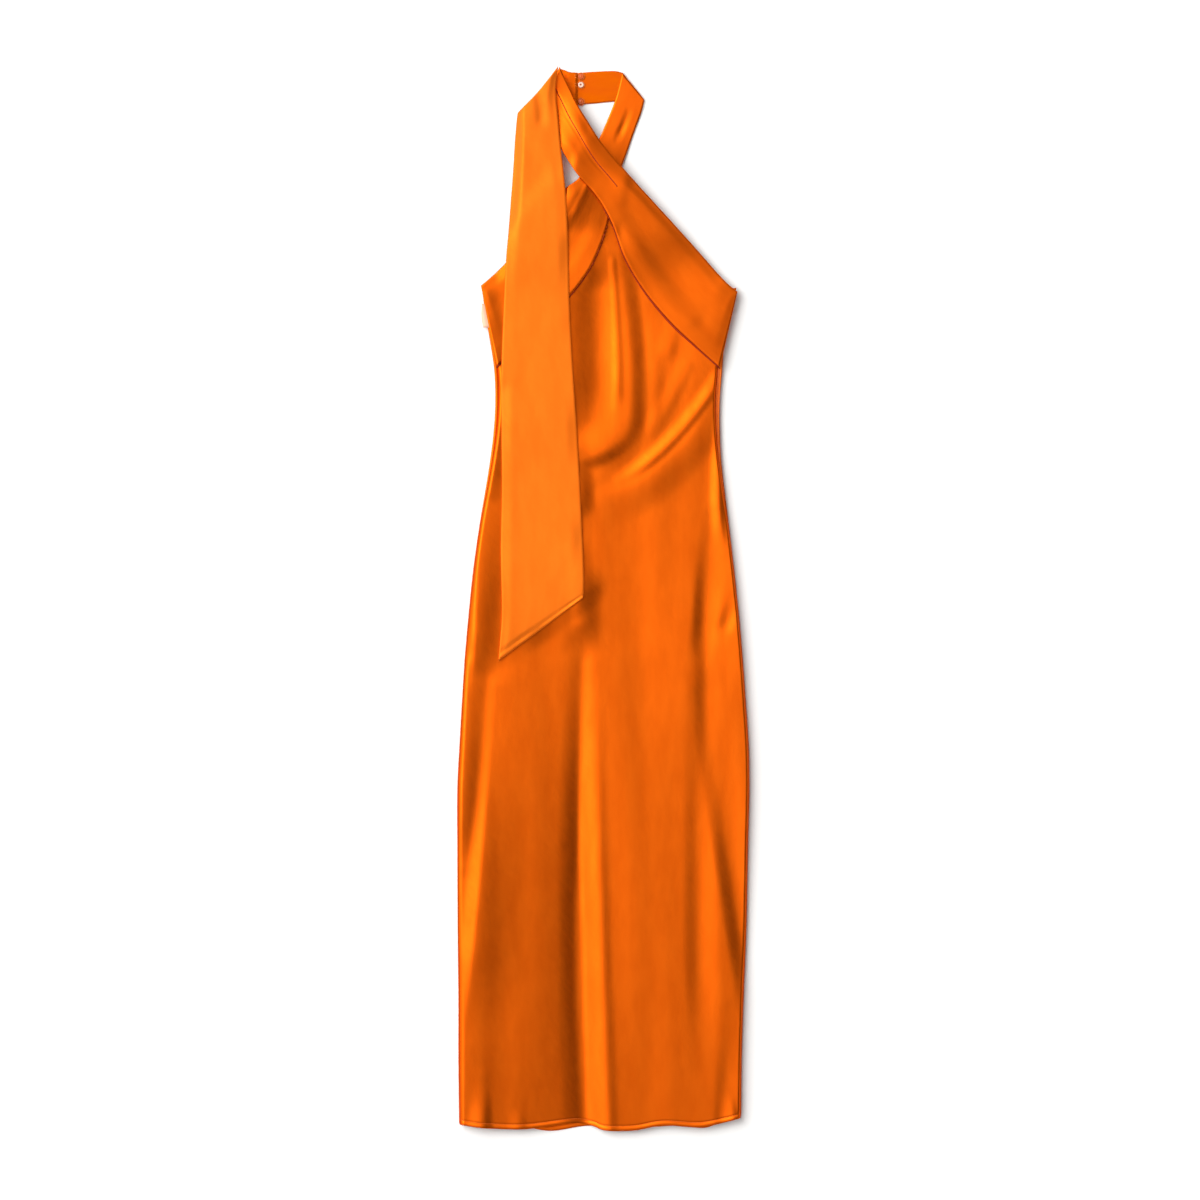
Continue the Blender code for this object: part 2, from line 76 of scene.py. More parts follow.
# The bed, which holds every piece with some room round it, and the gap between two layers
BED_HALF_WIDTH = 216.0
BED_HALF_LENGTH = 744.0
BED_STEP = 1.6
SEAM_GAP = 0.3

# The side seams lie a little off the floor, because the back turns up to them near each side. From the seam
# the front rises a little more over a short way in, and that is the level from which its folds rise and fall.
# Where it tucks under the bust panels it lies lower. Its troughs level out above the back, and nowhere reach
# lower than their floor.
BACK_LIFT = 5.4
LIFT_REACH = 26.0
SEAM_HEIGHT = 6.8
TUCK_HEIGHT = 3.0
TUCK_TOP = 400.0
TUCK_REACH = 110.0
SEAM_PUFF = 3.2
SEAM_FALL_LEFT = 4.6
SEAM_FALL_RIGHT = 2.2
TROUGH_FLOOR = 1.5
TROUGH_CLEARANCE = 1.0

# The strip of the back that shows outside the front's edge at the waist, how far up and down it shows, how
# quickly it widens, and how far inside the back's edges the front stays everywhere
STRIP_RIGHT = 6.0
STRIP_LEFT = 3.5
STRIP_TOP = 330.0
STRIP_END = 95.0
STRIP_WIDENING = 0.7
EDGE_INSET = 0.6

# The shallow dip of the back's hidden top edge, how far down it is felt, and how far up the hem's waves reach
BACK_TOP_DIP = 14.0
BACK_DIP_REACH = 56.0
HEM_REACH = 60.0

# The rolled hem, in shares of its depth: the middle and half width of its bead, the line of its stitches and
# the width of the groove that they pull, how deep that groove is as a share of the bead's height, and how far
# up the short rows of the mesh go
BEAD_MIDDLE = 0.45
BEAD_HALF_WIDTH = 0.62
STITCH_LINE = 1.18
GROOVE_WIDTH = 0.16
GROOVE_SHARE = 0.35
SHORT_ROWS_TOP = 2.2
SHORT_ROWS = 12

# Side outline of the dress, from the hidden top of the back to the hem
Side = namedtuple("Side", "y left right")
SIDES = (
    Side(426, -165.5, 182.0),
    Side(389, -160.5, 175.0),
    Side(351, -154.0, 166.0),
    Side(314, -148.5, 163.0),
    Side(273, -147.0, 159.5),
    Side(232, -149.0, 159.5),
    Side(191, -154.0, 161.5),
    Side(150, -160.5, 166.0),
    Side(109, -167.5, 171.0),
    Side(47, -176.5, 178.5),
    Side(-14, -183.0, 185.0),
    Side(-76, -188.5, 190.5),
    Side(-137, -192.5, 195.0),
    Side(-199, -196.0, 199.0),
    Side(-260, -199.0, 200.0),
    Side(-342, -199.0, 198.0),
    Side(-445, -198.5, 196.0),
    Side(-547, -197.5, 192.0),
    Side(-629, -197.5, 189.5),
    Side(-715, -196.5, 188.5),
)

# The front's upper end, from the point under the crossing down to the waist, tucked under both bust panels
FRONT_TOP = (
    Side(528, 3.0, 14.0),
    Side(510, -3.0, 20.0),
    Side(492, -9.5, 28.5),
    Side(462, -23.0, 41.0),
    Side(430, -45.0, 61.0),
    Side(403, -68.0, 78.0),
    Side(375, -97.0, 105.0),
    Side(348, -126.0, 135.0),
    Side(331, -140.5, 151.0),
)

# The hem of the front and of the back: how far it hangs below y = -715 at each place across
Wave = namedtuple("Wave", "x drop")
FRONT_HEM = (
    Wave(-197, 1.0),
    Wave(-160, 6.0),
    Wave(-105, 7.5),
    Wave(-42, 0.5),
    Wave(-14, 4.0),
    Wave(3, 9.5),
    Wave(42, 9.5),
    Wave(82, 2.5),
    Wave(126, 5.0),
    Wave(150, 2.0),
    Wave(189, -8.0),
)
BACK_HEM = (
    Wave(-197, 0.0),
    Wave(-110, 6.0),
    Wave(-70, 11.0),
    Wave(-20, 4.0),
    Wave(40, 7.0),
    Wave(100, 4.0),
    Wave(137, 7.0),
    Wave(160, 0.0),
    Wave(189, -10.0),
)

# Folds: a soft ridge, or a trough where its height is negative, along a line through three places. Left and
# right, as seen looking along that line from its start, are how far its two flanks reach at the start, so a
# short reach is a steep flank, and taper is the share of that reach that it keeps at its end. Start and end
# share are the parts of its height at its two ends. Crease is 0 for a round fold and 1 for one that is sharp
# along its line.
Fold = namedtuple("Fold", "name start bend end height left right taper start_share end_share crease")
SKIRT_FOLDS = (
    Fold("valley_ramp", (-22, -745), (-33, -400), (-28, -64), -5.4, 115, 46, 0.8, 0.9, 0.2, 1),
    Fold("valley", (-22, -745), (-33, -400), (-28, -84), -5.0, 38, 35, 0.6, 0.9, 0.15, 1),
    Fold("centre_crest", (8, -745), (-4, -400), (-10, -90), 1.6, 30, 15, 0.8, 1.0, 0.1, 0),
    Fold("mid_crest", (66, -720), (62, -400), (36, -90), 1.5, 52, 76, 0.9, 0.3, 0.3, 0),
    Fold("hip_light", (122, -270), (122, -60), (116, 110), 1.6, 70, 20, 1.0, 0.1, 0.1, 0),
    Fold("right_hip", (192, -190), (190, 0), (172, 180), 2.0, 56, 14, 0.7, 0.1, 0.4, 0),
    Fold("peak_left", (136, -640), (130, -400), (133, -110), -1.8, 22, 30, 1.0, 0.1, 0.2, 0),
    Fold("peak_right", (205, -560), (180, -400), (138, -130), -3.6, 23, 38, 1.0, 0.3, 0.2, 0),
    Fold("low_right", (166, -745), (168, -660), (176, -560), -1.2, 18, 22, 1.0, 0.4, 0.2, 0),
    Fold("hip_right", (130, -100), (139, -5), (150, 112), -1.6, 18, 28, 1.0, 0.1, 0.3, 0),
    Fold("hip_dart", (164, -50), (170, -26), (178, 0), -1.2, 14, 14, 1.0, 0.1, 0.2, 0),
    Fold("right_swell", (200, -745), (206, -300), (198, 60), 3.6, 150, 14, 1.0, 0.8, 0.3, 0),
    Fold("left_diagonal", (-190, -600), (-168, -392), (-146, -120), 5.0, 28, 84, 0.6, 0.2, 0.15, 0.5),
    Fold("left_rim", (-198, -360), (-193, -250), (-184, -90), 3.2, 12, 32, 0.9, 0.2, 0.2, 0),
    Fold("left_hip", (-174, -110), (-172, 0), (-162, 170), 5.0, 14, 42, 1.0, 0.1, 0.4, 0),
    Fold("left_waist", (-158, 150), (-151, 230), (-149, 308), 3.2, 4, 26, 1.0, 0.3, 0.8, 0),
    Fold("left_low", (-190, -748), (-190, -650), (-188, -500), 4.2, 10, 90, 1.0, 1.0, 0.1, 0),
    Fold("left_corner", (-166, -748), (-164, -712), (-163, -650), 2.4, 30, 18, 0.6, 1.0, 0.1, 0),
    Fold("small_left_peak", (-114, -748), (-114, -716), (-114, -690), 0.9, 18, 12, 1.0, 1.0, 0.1, 0),
    Fold("right_corner", (181, -745), (177, -706), (170, -670), 1.6, 20, 9, 1.0, 1.0, 0.1, 0),
    Fold("under_scarf_corner", (-26, -74), (-30, -12), (-31, 42), 3.2, 60, 30, 1.0, 0.1, 0.1, 0),
    Fold("along_scarf", (-33, -30), (-33, 40), (-36, 110), 1.4, 12, 22, 1.0, 0.4, 0.4, 0),
    Fold("below_scarf", (-132, -60), (-80, -22), (-28, 18), 2.6, 40, 34, 1.0, 0.2, 1.0, 0),
)
WAIST_FOLDS = (
    Fold("cowl_left", (-52, 225), (-52, 350), (-52, 470), 7.0, 34, 58, 1.0, 0.3, 0.9, 0),
    Fold("cowl_middle", (17, 245), (20, 330), (13, 462), 1.0, 11, 10, 0.7, 0.1, 0.4, 0),
    Fold("cowl_tip", (-14, 420), (-21, 476), (-26, 548), 3.4, 20, 44, 1.0, 0.0, 0.6, 0),
    Fold("cowl_right", (24, 212), (37, 300), (20, 470), 3.4, 60, 30, 0.75, 0.4, 0.6, 0),
    Fold("cowl_bottom", (-48, 190), (6, 206), (38, 240), 2.6, 46, 20, 1.0, 0.3, 0.3, 0),
    Fold("beside_cowl", (58, 200), (70, 300), (68, 415), 0.7, 22, 18, 0.9, 0.1, 0.3, 0),
    Fold("bust_drop", (84, 320), (92, 350), (98, 375), 0.9, 22, 14, 1.0, 0.1, 0.5, 0),
    Fold("fan_top", (56, 214), (86, 262), (114, 318), 0.7, 22, 16, 0.8, 0.1, 0.6, 0),
    Fold("fan_first", (24, 164), (90, 213), (157, 299), 2.0, 15, 9, 1.1, 0.2, 0.7, 0),
    Fold("fan_second", (-14, 128), (88, 188), (150, 270), 2.2, 28, 46, 0.8, 0.15, 0.7, 0),
    Fold("fan_side", (166, 66), (158, 150), (164, 266), 1.8, 16, 8, 0.8, 0.1, 0.6, 0),
    Fold("fan_left", (-20, 160), (-80, 216), (-141, 305), 1.5, 18, 18, 0.8, 0.2, 0.5, 0),
    Fold("by_scarf", (-36, 110), (-36, 150), (-41, 200), 4.0, 22, 27, 1.0, 0.1, 0.3, 0),
)
FRONT_FOLDS = SKIRT_FOLDS + WAIST_FOLDS

# The slow waves that no hand can smooth out of bias-cut satin: length across and along, slant and height, and
# how far they sway to and fro
Ripple = namedtuple("Ripple", "across along turn height")
RIPPLE_SWAY = 1.44
RIPPLES = (
    Ripple(67.0, 260.0, 0.4, 0.14),
    Ripple(41.0, 173.0, 2.1, 0.05),
    Ripple(103.0, 143.0, 1.3, 0.22),
)

BUST_RIGHT_FOLDS = (
    Fold("strap_inner", (-22, 552), (-52, 590), (-90, 648), 1.2, 6, 36, 1.0, 0.2, 0.9, 0),
    Fold("armhole_swell", (186, 416), (130, 492), (62, 572), 2.2, 66, 8, 1.0, 0.4, 0.5, 0),
    Fold("upper_roll", (28, 560), (92, 485), (150, 425), 0.6, 16, 30, 1.2, 0.3, 0.4, 0),
    Fold("lower_roll", (30, 520), (70, 445), (120, 385), 0.9, 16, 18, 1.2, 0.3, 0.4, 0),
)
BUST_LEFT_FOLDS = (
    Fold("under_crossing", (-60, 500), (-52, 545), (-40, 592), 5.4, 6, 62, 1.0, 0.1, 0.9, 0),
    Fold("bust_ply", (-48, 513), (-34, 540), (-22, 566), 0.9, 4, 8, 1.0, 0.4, 0.6, 0),
    Fold("armhole_edge", (-152, 318), (-162, 372), (-170, 430), 3.0, 6, 30, 1.0, 0.9, 0.8, 0),
    Fold("armhole_roll", (-40, 545), (-90, 480), (-135, 425), 1.5, 15, 22, 1.2, 0.3, 0.4, 0),
    Fold("strap_tuck", (19, 630), (27, 647), (34, 665), -0.9, 6, 8, 1.0, 0.3, 0.4, 0),
)
SCARF_FOLDS = (
    Fold("neck_pleat", (-86, 640), (-85, 665), (-91, 695), -1.5, 10, 16, 0.9, 0.1, 0.7, 0),
    Fold("left_border", (-132, -40), (-129, 130), (-128, 300), 0.45, 14, 16, 1.0, 0.6, 0.3, 0),
    Fold("lifted_corner", (-30, 5), (-28, 35), (-28, 70), 1.2, 30, 22, 0.8, 0.8, 0.1, 0),
)

# Pieces that run along a slant: each section goes from one long edge of the piece to the other
Section = namedtuple("Section", "outer_x outer_y inner_x inner_y")
BUST_LEFT = (
    Section(26.5, 720.5, 56.5, 683.0),
    Section(19.0, 690.0, 52.0, 665.0),
    Section(9.5, 664.0, 43.0, 640.5),
    Section(-6.0, 628.5, 30.0, 603.5),
    Section(-20.5, 603.5, 19.0, 573.5),
    Section(-33.0, 575.5, 11.0, 539.5),
    Section(-52.0, 560.0, 5.5, 510.5),
    Section(-79.5, 527.0, -5.5, 478.0),
    Section(-106.5, 493.0, -22.0, 445.0),
    Section(-131.0, 461.5, -52.0, 407.0),
    Section(-151.5, 441.0, -98.5, 363.0),
    Section(-166.5, 428.0, -145.0, 318.0),
)
BUST_RIGHT = (
    Section(-59.0, 726.5, -91.0, 668.0),
    Section(-46.5, 699.5, -78.0, 647.5),
    Section(-35.5, 676.0, -67.0, 629.5),
    Section(-20.5, 651.5, -56.5, 613.0),
    Section(-6.0, 628.5, -45.0, 594.0),
    Section(9.5, 608.5, -33.5, 577.5),
    Section(26.0, 590.0, -12.5, 554.5),
    Section(50.5, 562.5, 1.5, 534.0),
    Section(78.0, 532.5, 15.0, 506.5),
    Section(105.5, 502.5, 30.0, 465.5),
    Section(132.5, 472.5, 56.0, 422.0),
    Section(153.0, 449.0, 91.5, 379.5),
    Section(169.5, 431.5, 126.0, 346.5),
    Section(183.5, 420.0, 159.5, 316.5),
)
NECK_BAND = (
    Section(-44.0, 719.0, -44.0, 675.5),
    Section(-12.5, 721.5, -12.5, 678.0),
    Section(15.0, 722.5, 15.0, 680.5),
    Section(25.5, 720.5, 52.0, 682.5),
)
NECK_TAB = (
    Section(-79.5, 683.0, -60.0, 726.0),
    Section(-62.0, 677.0, -52.0, 723.5),
    Section(-49.0, 676.5, -46.5, 721.0),
    Section(-35.0, 675.5, -35.0, 720.0),
)
SCARF = (
    Section(-116.5, 663.5, -61.0, 726.5),
    Section(-118.5, 646.0, -64.5, 694.0),
    Section(-120.5, 621.5, -61.5, 658.5),
    Section(-122.5, 587.5, -58.0, 620.0),
    Section(-126.0, 542.0, -52.0, 567.0),
    Section(-129.0, 501.0, -48.5, 512.0),
    Section(-132.5, 459.0, -47.0, 461.5),
    Section(-135.5, 396.0, -45.5, 398.5),
    Section(-138.5, 314.0, -41.0, 314.0),
    Section(-138.5, 232.0, -35.5, 232.0),
    Section(-138.0, 150.0, -31.0, 150.0),
    Section(-139.5, 68.0, -27.5, 74.5),
    Section(-138.0, -17.0, -26.0, 33.5),
    Section(-141.0, -62.0, -26.0, 13.0),
    Section(-143.0, -84.5, -27.0, 2.0),
)
SIDE_ZIP = (
    Section(171.0, 416.0, 180.0, 414.0),
    Section(165.0, 385.0, 174.0, 384.0),
    Section(158.5, 345.0, 165.0, 344.5),
    Section(153.5, 314.0, 162.0, 314.0),
    Section(152.0, 252.0, 158.5, 252.0),
    Section(157.0, 190.0, 160.5, 190.0),
    Section(164.0, 135.0, 167.0, 135.0),
)
HANGER_LOOP = (
    Section(-165.5, 404.0, -148.0, 402.0),
    Section(-166.0, 387.0, -148.0, 386.0),
    Section(-163.5, 371.5, -148.0, 371.5),
)

# How a slanted piece lies: how far its turned edge rounds off, how far in from its edges it hangs more
# loosely, over what span it bends along itself, how far round each place it feels what is under it, and how
# far apart its rows are
EDGE_ROUND = 1.8
DROOP_REACH = 16.0
LEVEL_SPAN = 45.0
REST_REACH = 3.0
ROW_LENGTH = 3.0

# The lengthwise fold of the right strap: its upper ply's height, the depth and place of the gap beside it,
# how far across the strap its free edge lies at the neck and where it ends, how wide that edge is, and the
# shares of the strap's length at which it ends and over which it fades
PLY_RISE = 0.4
PLY_GAP = 0.5
PLY_GAP_PLACE = 1.69
PLY_SHARE_TOP = 0.34
PLY_SHARE_END = 0.43
PLY_EDGE = 1.3
PLY_LENGTH_SHARE = 0.40
PLY_FADE_SHARE = 0.1

# The dark cords of painted shadow, which stand in for the shade in the seam under each bust panel's lower
# edge: their thickness, how much more of it shows where the right seam gapes, where along the seam that is
# and how widely, the section at which each seam starts, and the cord's thickness, first place and depth
# under the strap's upper ply, where it stands in for the shade along the ply's free edge
SEAM_SHADOW_CORD = 1.8
SEAM_GAPE = 0.7
GAPE_PLACE = 0.66
GAPE_SPREAD = 0.2
SEAM_FIRST_RIGHT = 7
SEAM_FIRST_LEFT = 6
PLY_SHADOW_CORD = 1.5
PLY_SHADOW_START = 0.02
PLY_SHADOW_DEPTH = 0.1

# How much higher the right strap and the scarf lie at the neck, where all the layers meet, and over how long
# a share of the piece that dies out
STRAP_LIFT = 9.8
STRAP_LIFT_SHARE = 0.34
SCARF_LIFT = 2.4
SCARF_LIFT_SHARE = 0.18

# The scarf's length, and the rolled lip of its slanted end: its width and height and, in shares of that
# width, the middle of its bead, of the groove above it and how far both spread, squared. The groove is nearly
# as deep as the bead is high.
SCARF_LENGTH = 740.0
LIP_WIDTH = 6.0
LIP_RISE = 0.6
LIP_MIDDLE = 0.5
LIP_GROOVE = 1.35
LIP_SPREAD = 0.12
LIP_GROOVE_SHARE = 0.9

# How far the neck fold at the scarf's top bows in, and the length over which the bow dies out
SCARF_TOP_BOW = 4.0
BOW_LENGTH = 68.0

# The zip's tape and the ribbon, with their thicker woven edge, and the zip's coil of wire: its turns, how far
# each reaches to both sides and arches up, and how high it stands off the tape
TAPE_WALL = 0.5
TAPE_LIFT = 0.15
SELVEDGE_RISE = 0.18
SELVEDGE_PLACE = 0.9
SELVEDGE_WIDTH = 0.5
COIL_RADIUS = 0.28
COIL_TURNS = 190
COIL_REACH = 1.3
COIL_ARCH = 0.5
COIL_STAND = 0.35

# The turned neck buttons, in shares of their radius and height from the bottom up: the rim and dished face
# that all have, then the eye of the pierced one or the crown of the others
BUTTON_SIDES = 40
BUTTON_RIM = ((0.55, 0.0), (0.92, 0.12), (1.0, 0.4), (0.97, 0.72), (0.86, 0.88), (0.72, 0.86), (0.5, 0.8))
BUTTON_EYE = ((0.36, 0.84), (0.28, 0.7), (0.26, 0.1))
BUTTON_CROWN = ((0.3, 0.94), (0.12, 1.0), (0.005, 1.0))

# The thread loops that close over the buttons: their thread, how far they lie round the button, where their
# two ends come out of the band and how high they lie there and round the button
LOOP_RADIUS = 0.55
LOOP_REACH = 4.9
LOOP_ROOT = 8.5
LOOP_HALF_GAP = 1.3
LOOP_ROOT_HEIGHT = 1.6
LOOP_HEIGHT = 0.7

# Neck buttons
Button = namedtuple("Button", "name y pierced")
BUTTON_X = -30.1
BUTTONS = (
    Button("button_1", 715.0, False),
    Button("button_2", 703.5, True),
    Button("button_3", 680.5, False),
)

# The flat cut of each piece of cloth, as far as it shows or lies under what shows: width, length, and area in
# square metres
Cut = namedtuple("Cut", "width length area")

# ---------------------------------------------------------------------------------------------------------
# Sizes, colours and studio that a user would change
# ---------------------------------------------------------------------------------------------------------


class DressSizes(bpy.types.PropertyGroup):
    cell: bpy.props.FloatProperty(
        name="Mesh cell",
        description="Length of one cell of the body's cloth",
        default=3.9 * MM,
        min=2 * MM,
        unit="LENGTH",
    )
    body_columns: bpy.props.IntProperty(
        name="Body columns", description="Cells across the body", default=112, min=20
    )
    strap_columns: bpy.props.IntProperty(
        name="Strap columns", description="Cells across a bust panel or the scarf", default=34, min=8
    )
    wall: bpy.props.FloatProperty(
        name="Cloth thickness",
        description="Thickness of one layer of satin as shown, seam allowances included",
        default=0.8 * MM,
        min=0.2 * MM,
        unit="LENGTH",
    )
    edge_roll: bpy.props.FloatProperty(
        name="Edge roll",
        description="Height of the soft turned edge of the bust panels and the scarf",
        default=0.7 * MM,
        unit="LENGTH",
    )
    hem_depth: bpy.props.FloatProperty(
        name="Hem depth", description="Depth of the narrow rolled hem", default=5.5 * MM, unit="LENGTH"
    )
    hem_rise: bpy.props.FloatProperty(
        name="Hem rise", description="Height of the rolled hem's bead", default=0.9 * MM, unit="LENGTH"
    )
    stitch_length: bpy.props.FloatProperty(
        name="Stitch length", description="Length of one hem stitch", default=2.4 * MM, unit="LENGTH"
    )
    stitch_step: bpy.props.FloatProperty(
        name="Stitch step", description="From one hem stitch to the next", default=3.1 * MM, unit="LENGTH"
    )
    thread: bpy.props.FloatProperty(
        name="Thread", description="Diameter of the sewing thread as shown", default=0.5 * MM, unit="LENGTH"
    )
    button_diameter: bpy.props.FloatProperty(
        name="Button diameter", description="Diameter of a neck button", default=8 * MM, unit="LENGTH"
    )
    button_height: bpy.props.FloatProperty(
        name="Button height", description="Height of a neck button's dome", default=2.4 * MM, unit="LENGTH"
    )


class DressColours(bpy.types.PropertyGroup):
    satin: bpy.props.FloatVectorProperty(
        name="Satin",
        description="Shiny face of the orange satin",
        default=linear("#DD5E0C"),
        subtype="COLOR",
    )
    satin_deep: bpy.props.FloatVectorProperty(
        name="Satin in depth",
        description="Where the satin's threads lie denser",
        default=linear("#D7590A"),
        subtype="COLOR",
    )
    # Painted light: the scarf is the body's own satin, painted lighter here for the brighter light it shows
    # lying flat on top
    scarf: bpy.props.FloatVectorProperty(
        name="Scarf", description="Satin of the scarf", default=linear("#EF7319"), subtype="COLOR"
    )
    scarf_deep: bpy.props.FloatVectorProperty(
        name="Scarf in depth",
        description="Where the scarf's threads lie denser",
        default=linear("#EA6E16"),
        subtype="COLOR",
    )
    satin_matt: bpy.props.FloatVectorProperty(
        name="Satin reverse",
        description="Matt reverse of the satin inside the neck band",
        default=linear("#DA6002"),
        subtype="COLOR",
    )
    thread: bpy.props.FloatVectorProperty(
        name="Thread", description="Sewing thread", default=linear("#F07A22"), subtype="COLOR"
    )
    # Painted shadow: the dark colour of the cords laid in the seams under the bust panels and along the right
    # strap's ply, which stand in for the shade there
    seam: bpy.props.FloatVectorProperty(
        name="Seam", description="Thread deep in a seam", default=linear("#A02E02"), subtype="COLOR"
    )
    ribbon: bpy.props.FloatVectorProperty(
        name="Ribbon", description="Pale hanger ribbon", default=linear("#F2C3A4"), subtype="COLOR"
    )
    zip: bpy.props.FloatVectorProperty(
        name="Zip tape",
        description="Tape and coil of the side zip",
        default=linear("#FA761A"),
        subtype="COLOR",
    )
    button_pale: bpy.props.FloatVectorProperty(
        name="Pale button", description="Pale pierced button", default=linear("#F3CDB8"), subtype="COLOR"
    )
    floor: bpy.props.FloatVectorProperty(
        name="Floor", description="Pale floor under the dress", default=linear("#FBFBFB"), subtype="COLOR"
    )


class StudioSettings(bpy.types.PropertyGroup):
    camera_height: bpy.props.FloatProperty(
        name="Camera height", description="Camera above the floor", default=6.0, unit="LENGTH"
    )
    frame_width: bpy.props.FloatProperty(
        name="Frame width", description="Width of the floor that shows", default=1.6404, unit="LENGTH"
    )
    key_power: bpy.props.FloatProperty(
        name="Key light",
        description="Power of the big soft light at the top left",
        default=110.0,
        unit="POWER",
    )
    glow: bpy.props.FloatProperty(
        name="Glow", description="Brightness of the room's soft glow at the upper left", default=3.6, min=0.0
    )
    dim: bpy.props.FloatProperty(
        name="Dim side", description="Brightness of the room away from the glow", default=0.04, min=0.0
    )
    walls: bpy.props.FloatProperty(
        name="Walls", description="Brightness of the studio's walls low down", default=2.0, min=0.0
    )


# The light is a little warm. The key light is a large square in metres. The room's soft glow is centred on a
# direction high at the upper left, and dims all round it: the focus says how quickly. The walls are lit low
# down only, so they show in the cloth from the side but not from above.
LIGHT_COLOUR = (1.0, 0.992, 0.975)
KEY_PLACE = (-2.85, 1.6, 3.9)
KEY_SIZE = 3.5
GLOW_CENTRE = (-0.56, 0.30, 0.77)
GLOW_FOCUS = 5.0
WALL_FOCUS = 4.0

# Half the floor's side, and the place that the camera looks straight down at, in metres
FLOOR_REACH = 30.0
VIEW_CENTRE = (-0.0041, -0.0005)

# ---------------------------------------------------------------------------------------------------------
# Curves, folds and the bed
# ---------------------------------------------------------------------------------------------------------

# How round the line of a sharp crease stays, as a share of its reach, the shares of a fold's length over
# which it grows at its start and dies out at its end, and the straight steps that its line is made of
CREASE_ROUND = 0.12
GROWING_SHARE = 0.35
DYING_SHARE = 0.6
FOLD_STEPS = 24


def smooth_step(value):
    """0 up to 0, 1 from 1, and a soft S between."""
    share = np.clip(value, 0.0, 1.0)
    return share * share * (3.0 - 2.0 * share)


def through(points, count):
    """A smooth curve through the points, read at `count` + 1 evenly spaced places."""
    points = np.asarray(points, float)
    before = 2 * points[0] - points[1]
    after = 2 * points[-1] - points[-2]
    padded = np.vstack([before, points, after])
    fine = np.linspace(0, len(points) - 1, 40 * len(points))
    index = np.minimum(fine.astype(int), len(points) - 2)
    t = (fine - index)[:, None]
    p0, p1, p2, p3 = (padded[index + k] for k in range(4))
    squared = (2 * p0 - 5 * p1 + 4 * p2 - p3) * t**2
    cubed = (3 * p1 - p0 - 3 * p2 + p3) * t**3
    curve = 0.5 * (2 * p1 + (p2 - p0) * t + squared + cubed)
    length = np.concatenate([[0], np.cumsum(np.linalg.norm(np.diff(curve, axis=0), axis=1))])
    wanted = np.linspace(0, length[-1], count + 1)
    return np.column_stack([np.interp(wanted, length, column) for column in curve.T])


def fold_height(fold, x, y):
    """The height of one fold over each place."""
    start, bend, end = (np.array(place, float) for place in (fold.start, fold.bend, fold.end))
    control = 2 * bend - (start + end) / 2
    t = np.linspace(0, 1, FOLD_STEPS + 1)[:, None]
    line = (1 - t) ** 2 * start + 2 * t * (1 - t) * control + t**2 * end
    best = np.full(np.shape(x), np.inf)
    share = np.zeros(np.shape(x))
    leftness = np.zeros(np.shape(x))
    for k in range(FOLD_STEPS):
        run = line[k + 1] - line[k]
        off_x = x - line[k][0]
        off_y = y - line[k][1]
        place = np.clip((off_x * run[0] + off_y * run[1]) / (run @ run), 0, 1)
        distance = np.hypot(off_x - place * run[0], off_y - place * run[1])
        nearer = distance < best
        best = np.where(nearer, distance, best)
        share = np.where(nearer, (k + place) / FOLD_STEPS, share)
        sideways = (run[0] * off_y - run[1] * off_x) / np.linalg.norm(run)
        leftness = np.where(nearer, np.clip(sideways / np.maximum(distance, 1e-6), -1, 1), leftness)
    # Past its ends a fold's reach turns smoothly from one flank's to the other's
    reach = fold.right + (fold.left - fold.right) * (0.5 + 0.5 * leftness)
    reach = reach * (1 + (fold.taper - 1) * share)
    off = np.clip(best / reach, 0, 1)
    round_top = 0.5 + 0.5 * np.cos(math.pi * off)
    sharp_top = np.clip((1 - np.sqrt(off**2 + CREASE_ROUND**2)) / (1 - CREASE_ROUND), 0, 1) ** 2
    across = round_top + fold.crease * (sharp_top - round_top)
    growing = fold.start_share + (1 - fold.start_share) * smooth_step(share / GROWING_SHARE)
    dying = fold.end_share + (1 - fold.end_share) * smooth_step((1 - share) / DYING_SHARE)
    return fold.height * across * growing * dying


def folds_height(folds, x, y):
    """The height of all these folds together over each place."""
    return sum(fold_height(fold, x, y) for fold in folds)


def ripples_height(x, y):
    """The slow waves of the laid cloth, never below zero."""
    total = 0.0
    for ripple in RIPPLES:
        sway = RIPPLE_SWAY * np.sin(y / ripple.along + ripple.turn)
        wave = np.sin(2 * math.pi * x / ripple.across + sway + ripple.turn)
        total = total + ripple.height * (1 + wave)
    return total


# How often the running mean is taken, how much further than its softness cloth feels what is under it, so
# that the softened shape still clears it, and the height below which it simply lies on the floor
SOFTENING_ROUNDS = 3
CLEARING = 1.2
ON_FLOOR = 0.02


def widened(grid, reach):
    """Each place takes the greatest height within reach of it."""
    cells = int(math.ceil(reach / BED_STEP))
    result = grid.copy()
    for down in range(-cells, cells + 1):
        for across in range(-cells, cells + 1):
            if down * down + across * across <= cells * cells:
                result = np.maximum(result, np.roll(grid, (down, across), (0, 1)))
    return result


def softened(grid, reach):
    """A running mean, several times over, along each axis. Together they reach as far as `reach`."""
    cells = max(1, int(round(reach / BED_STEP / SOFTENING_ROUNDS)))
    kernel = np.ones(2 * cells + 1) / (2 * cells + 1)
    for _ in range(SOFTENING_ROUNDS):
        grid = np.apply_along_axis(np.convolve, 0, grid, kernel, "same")
        grid = np.apply_along_axis(np.convolve, 1, grid, kernel, "same")
    return grid


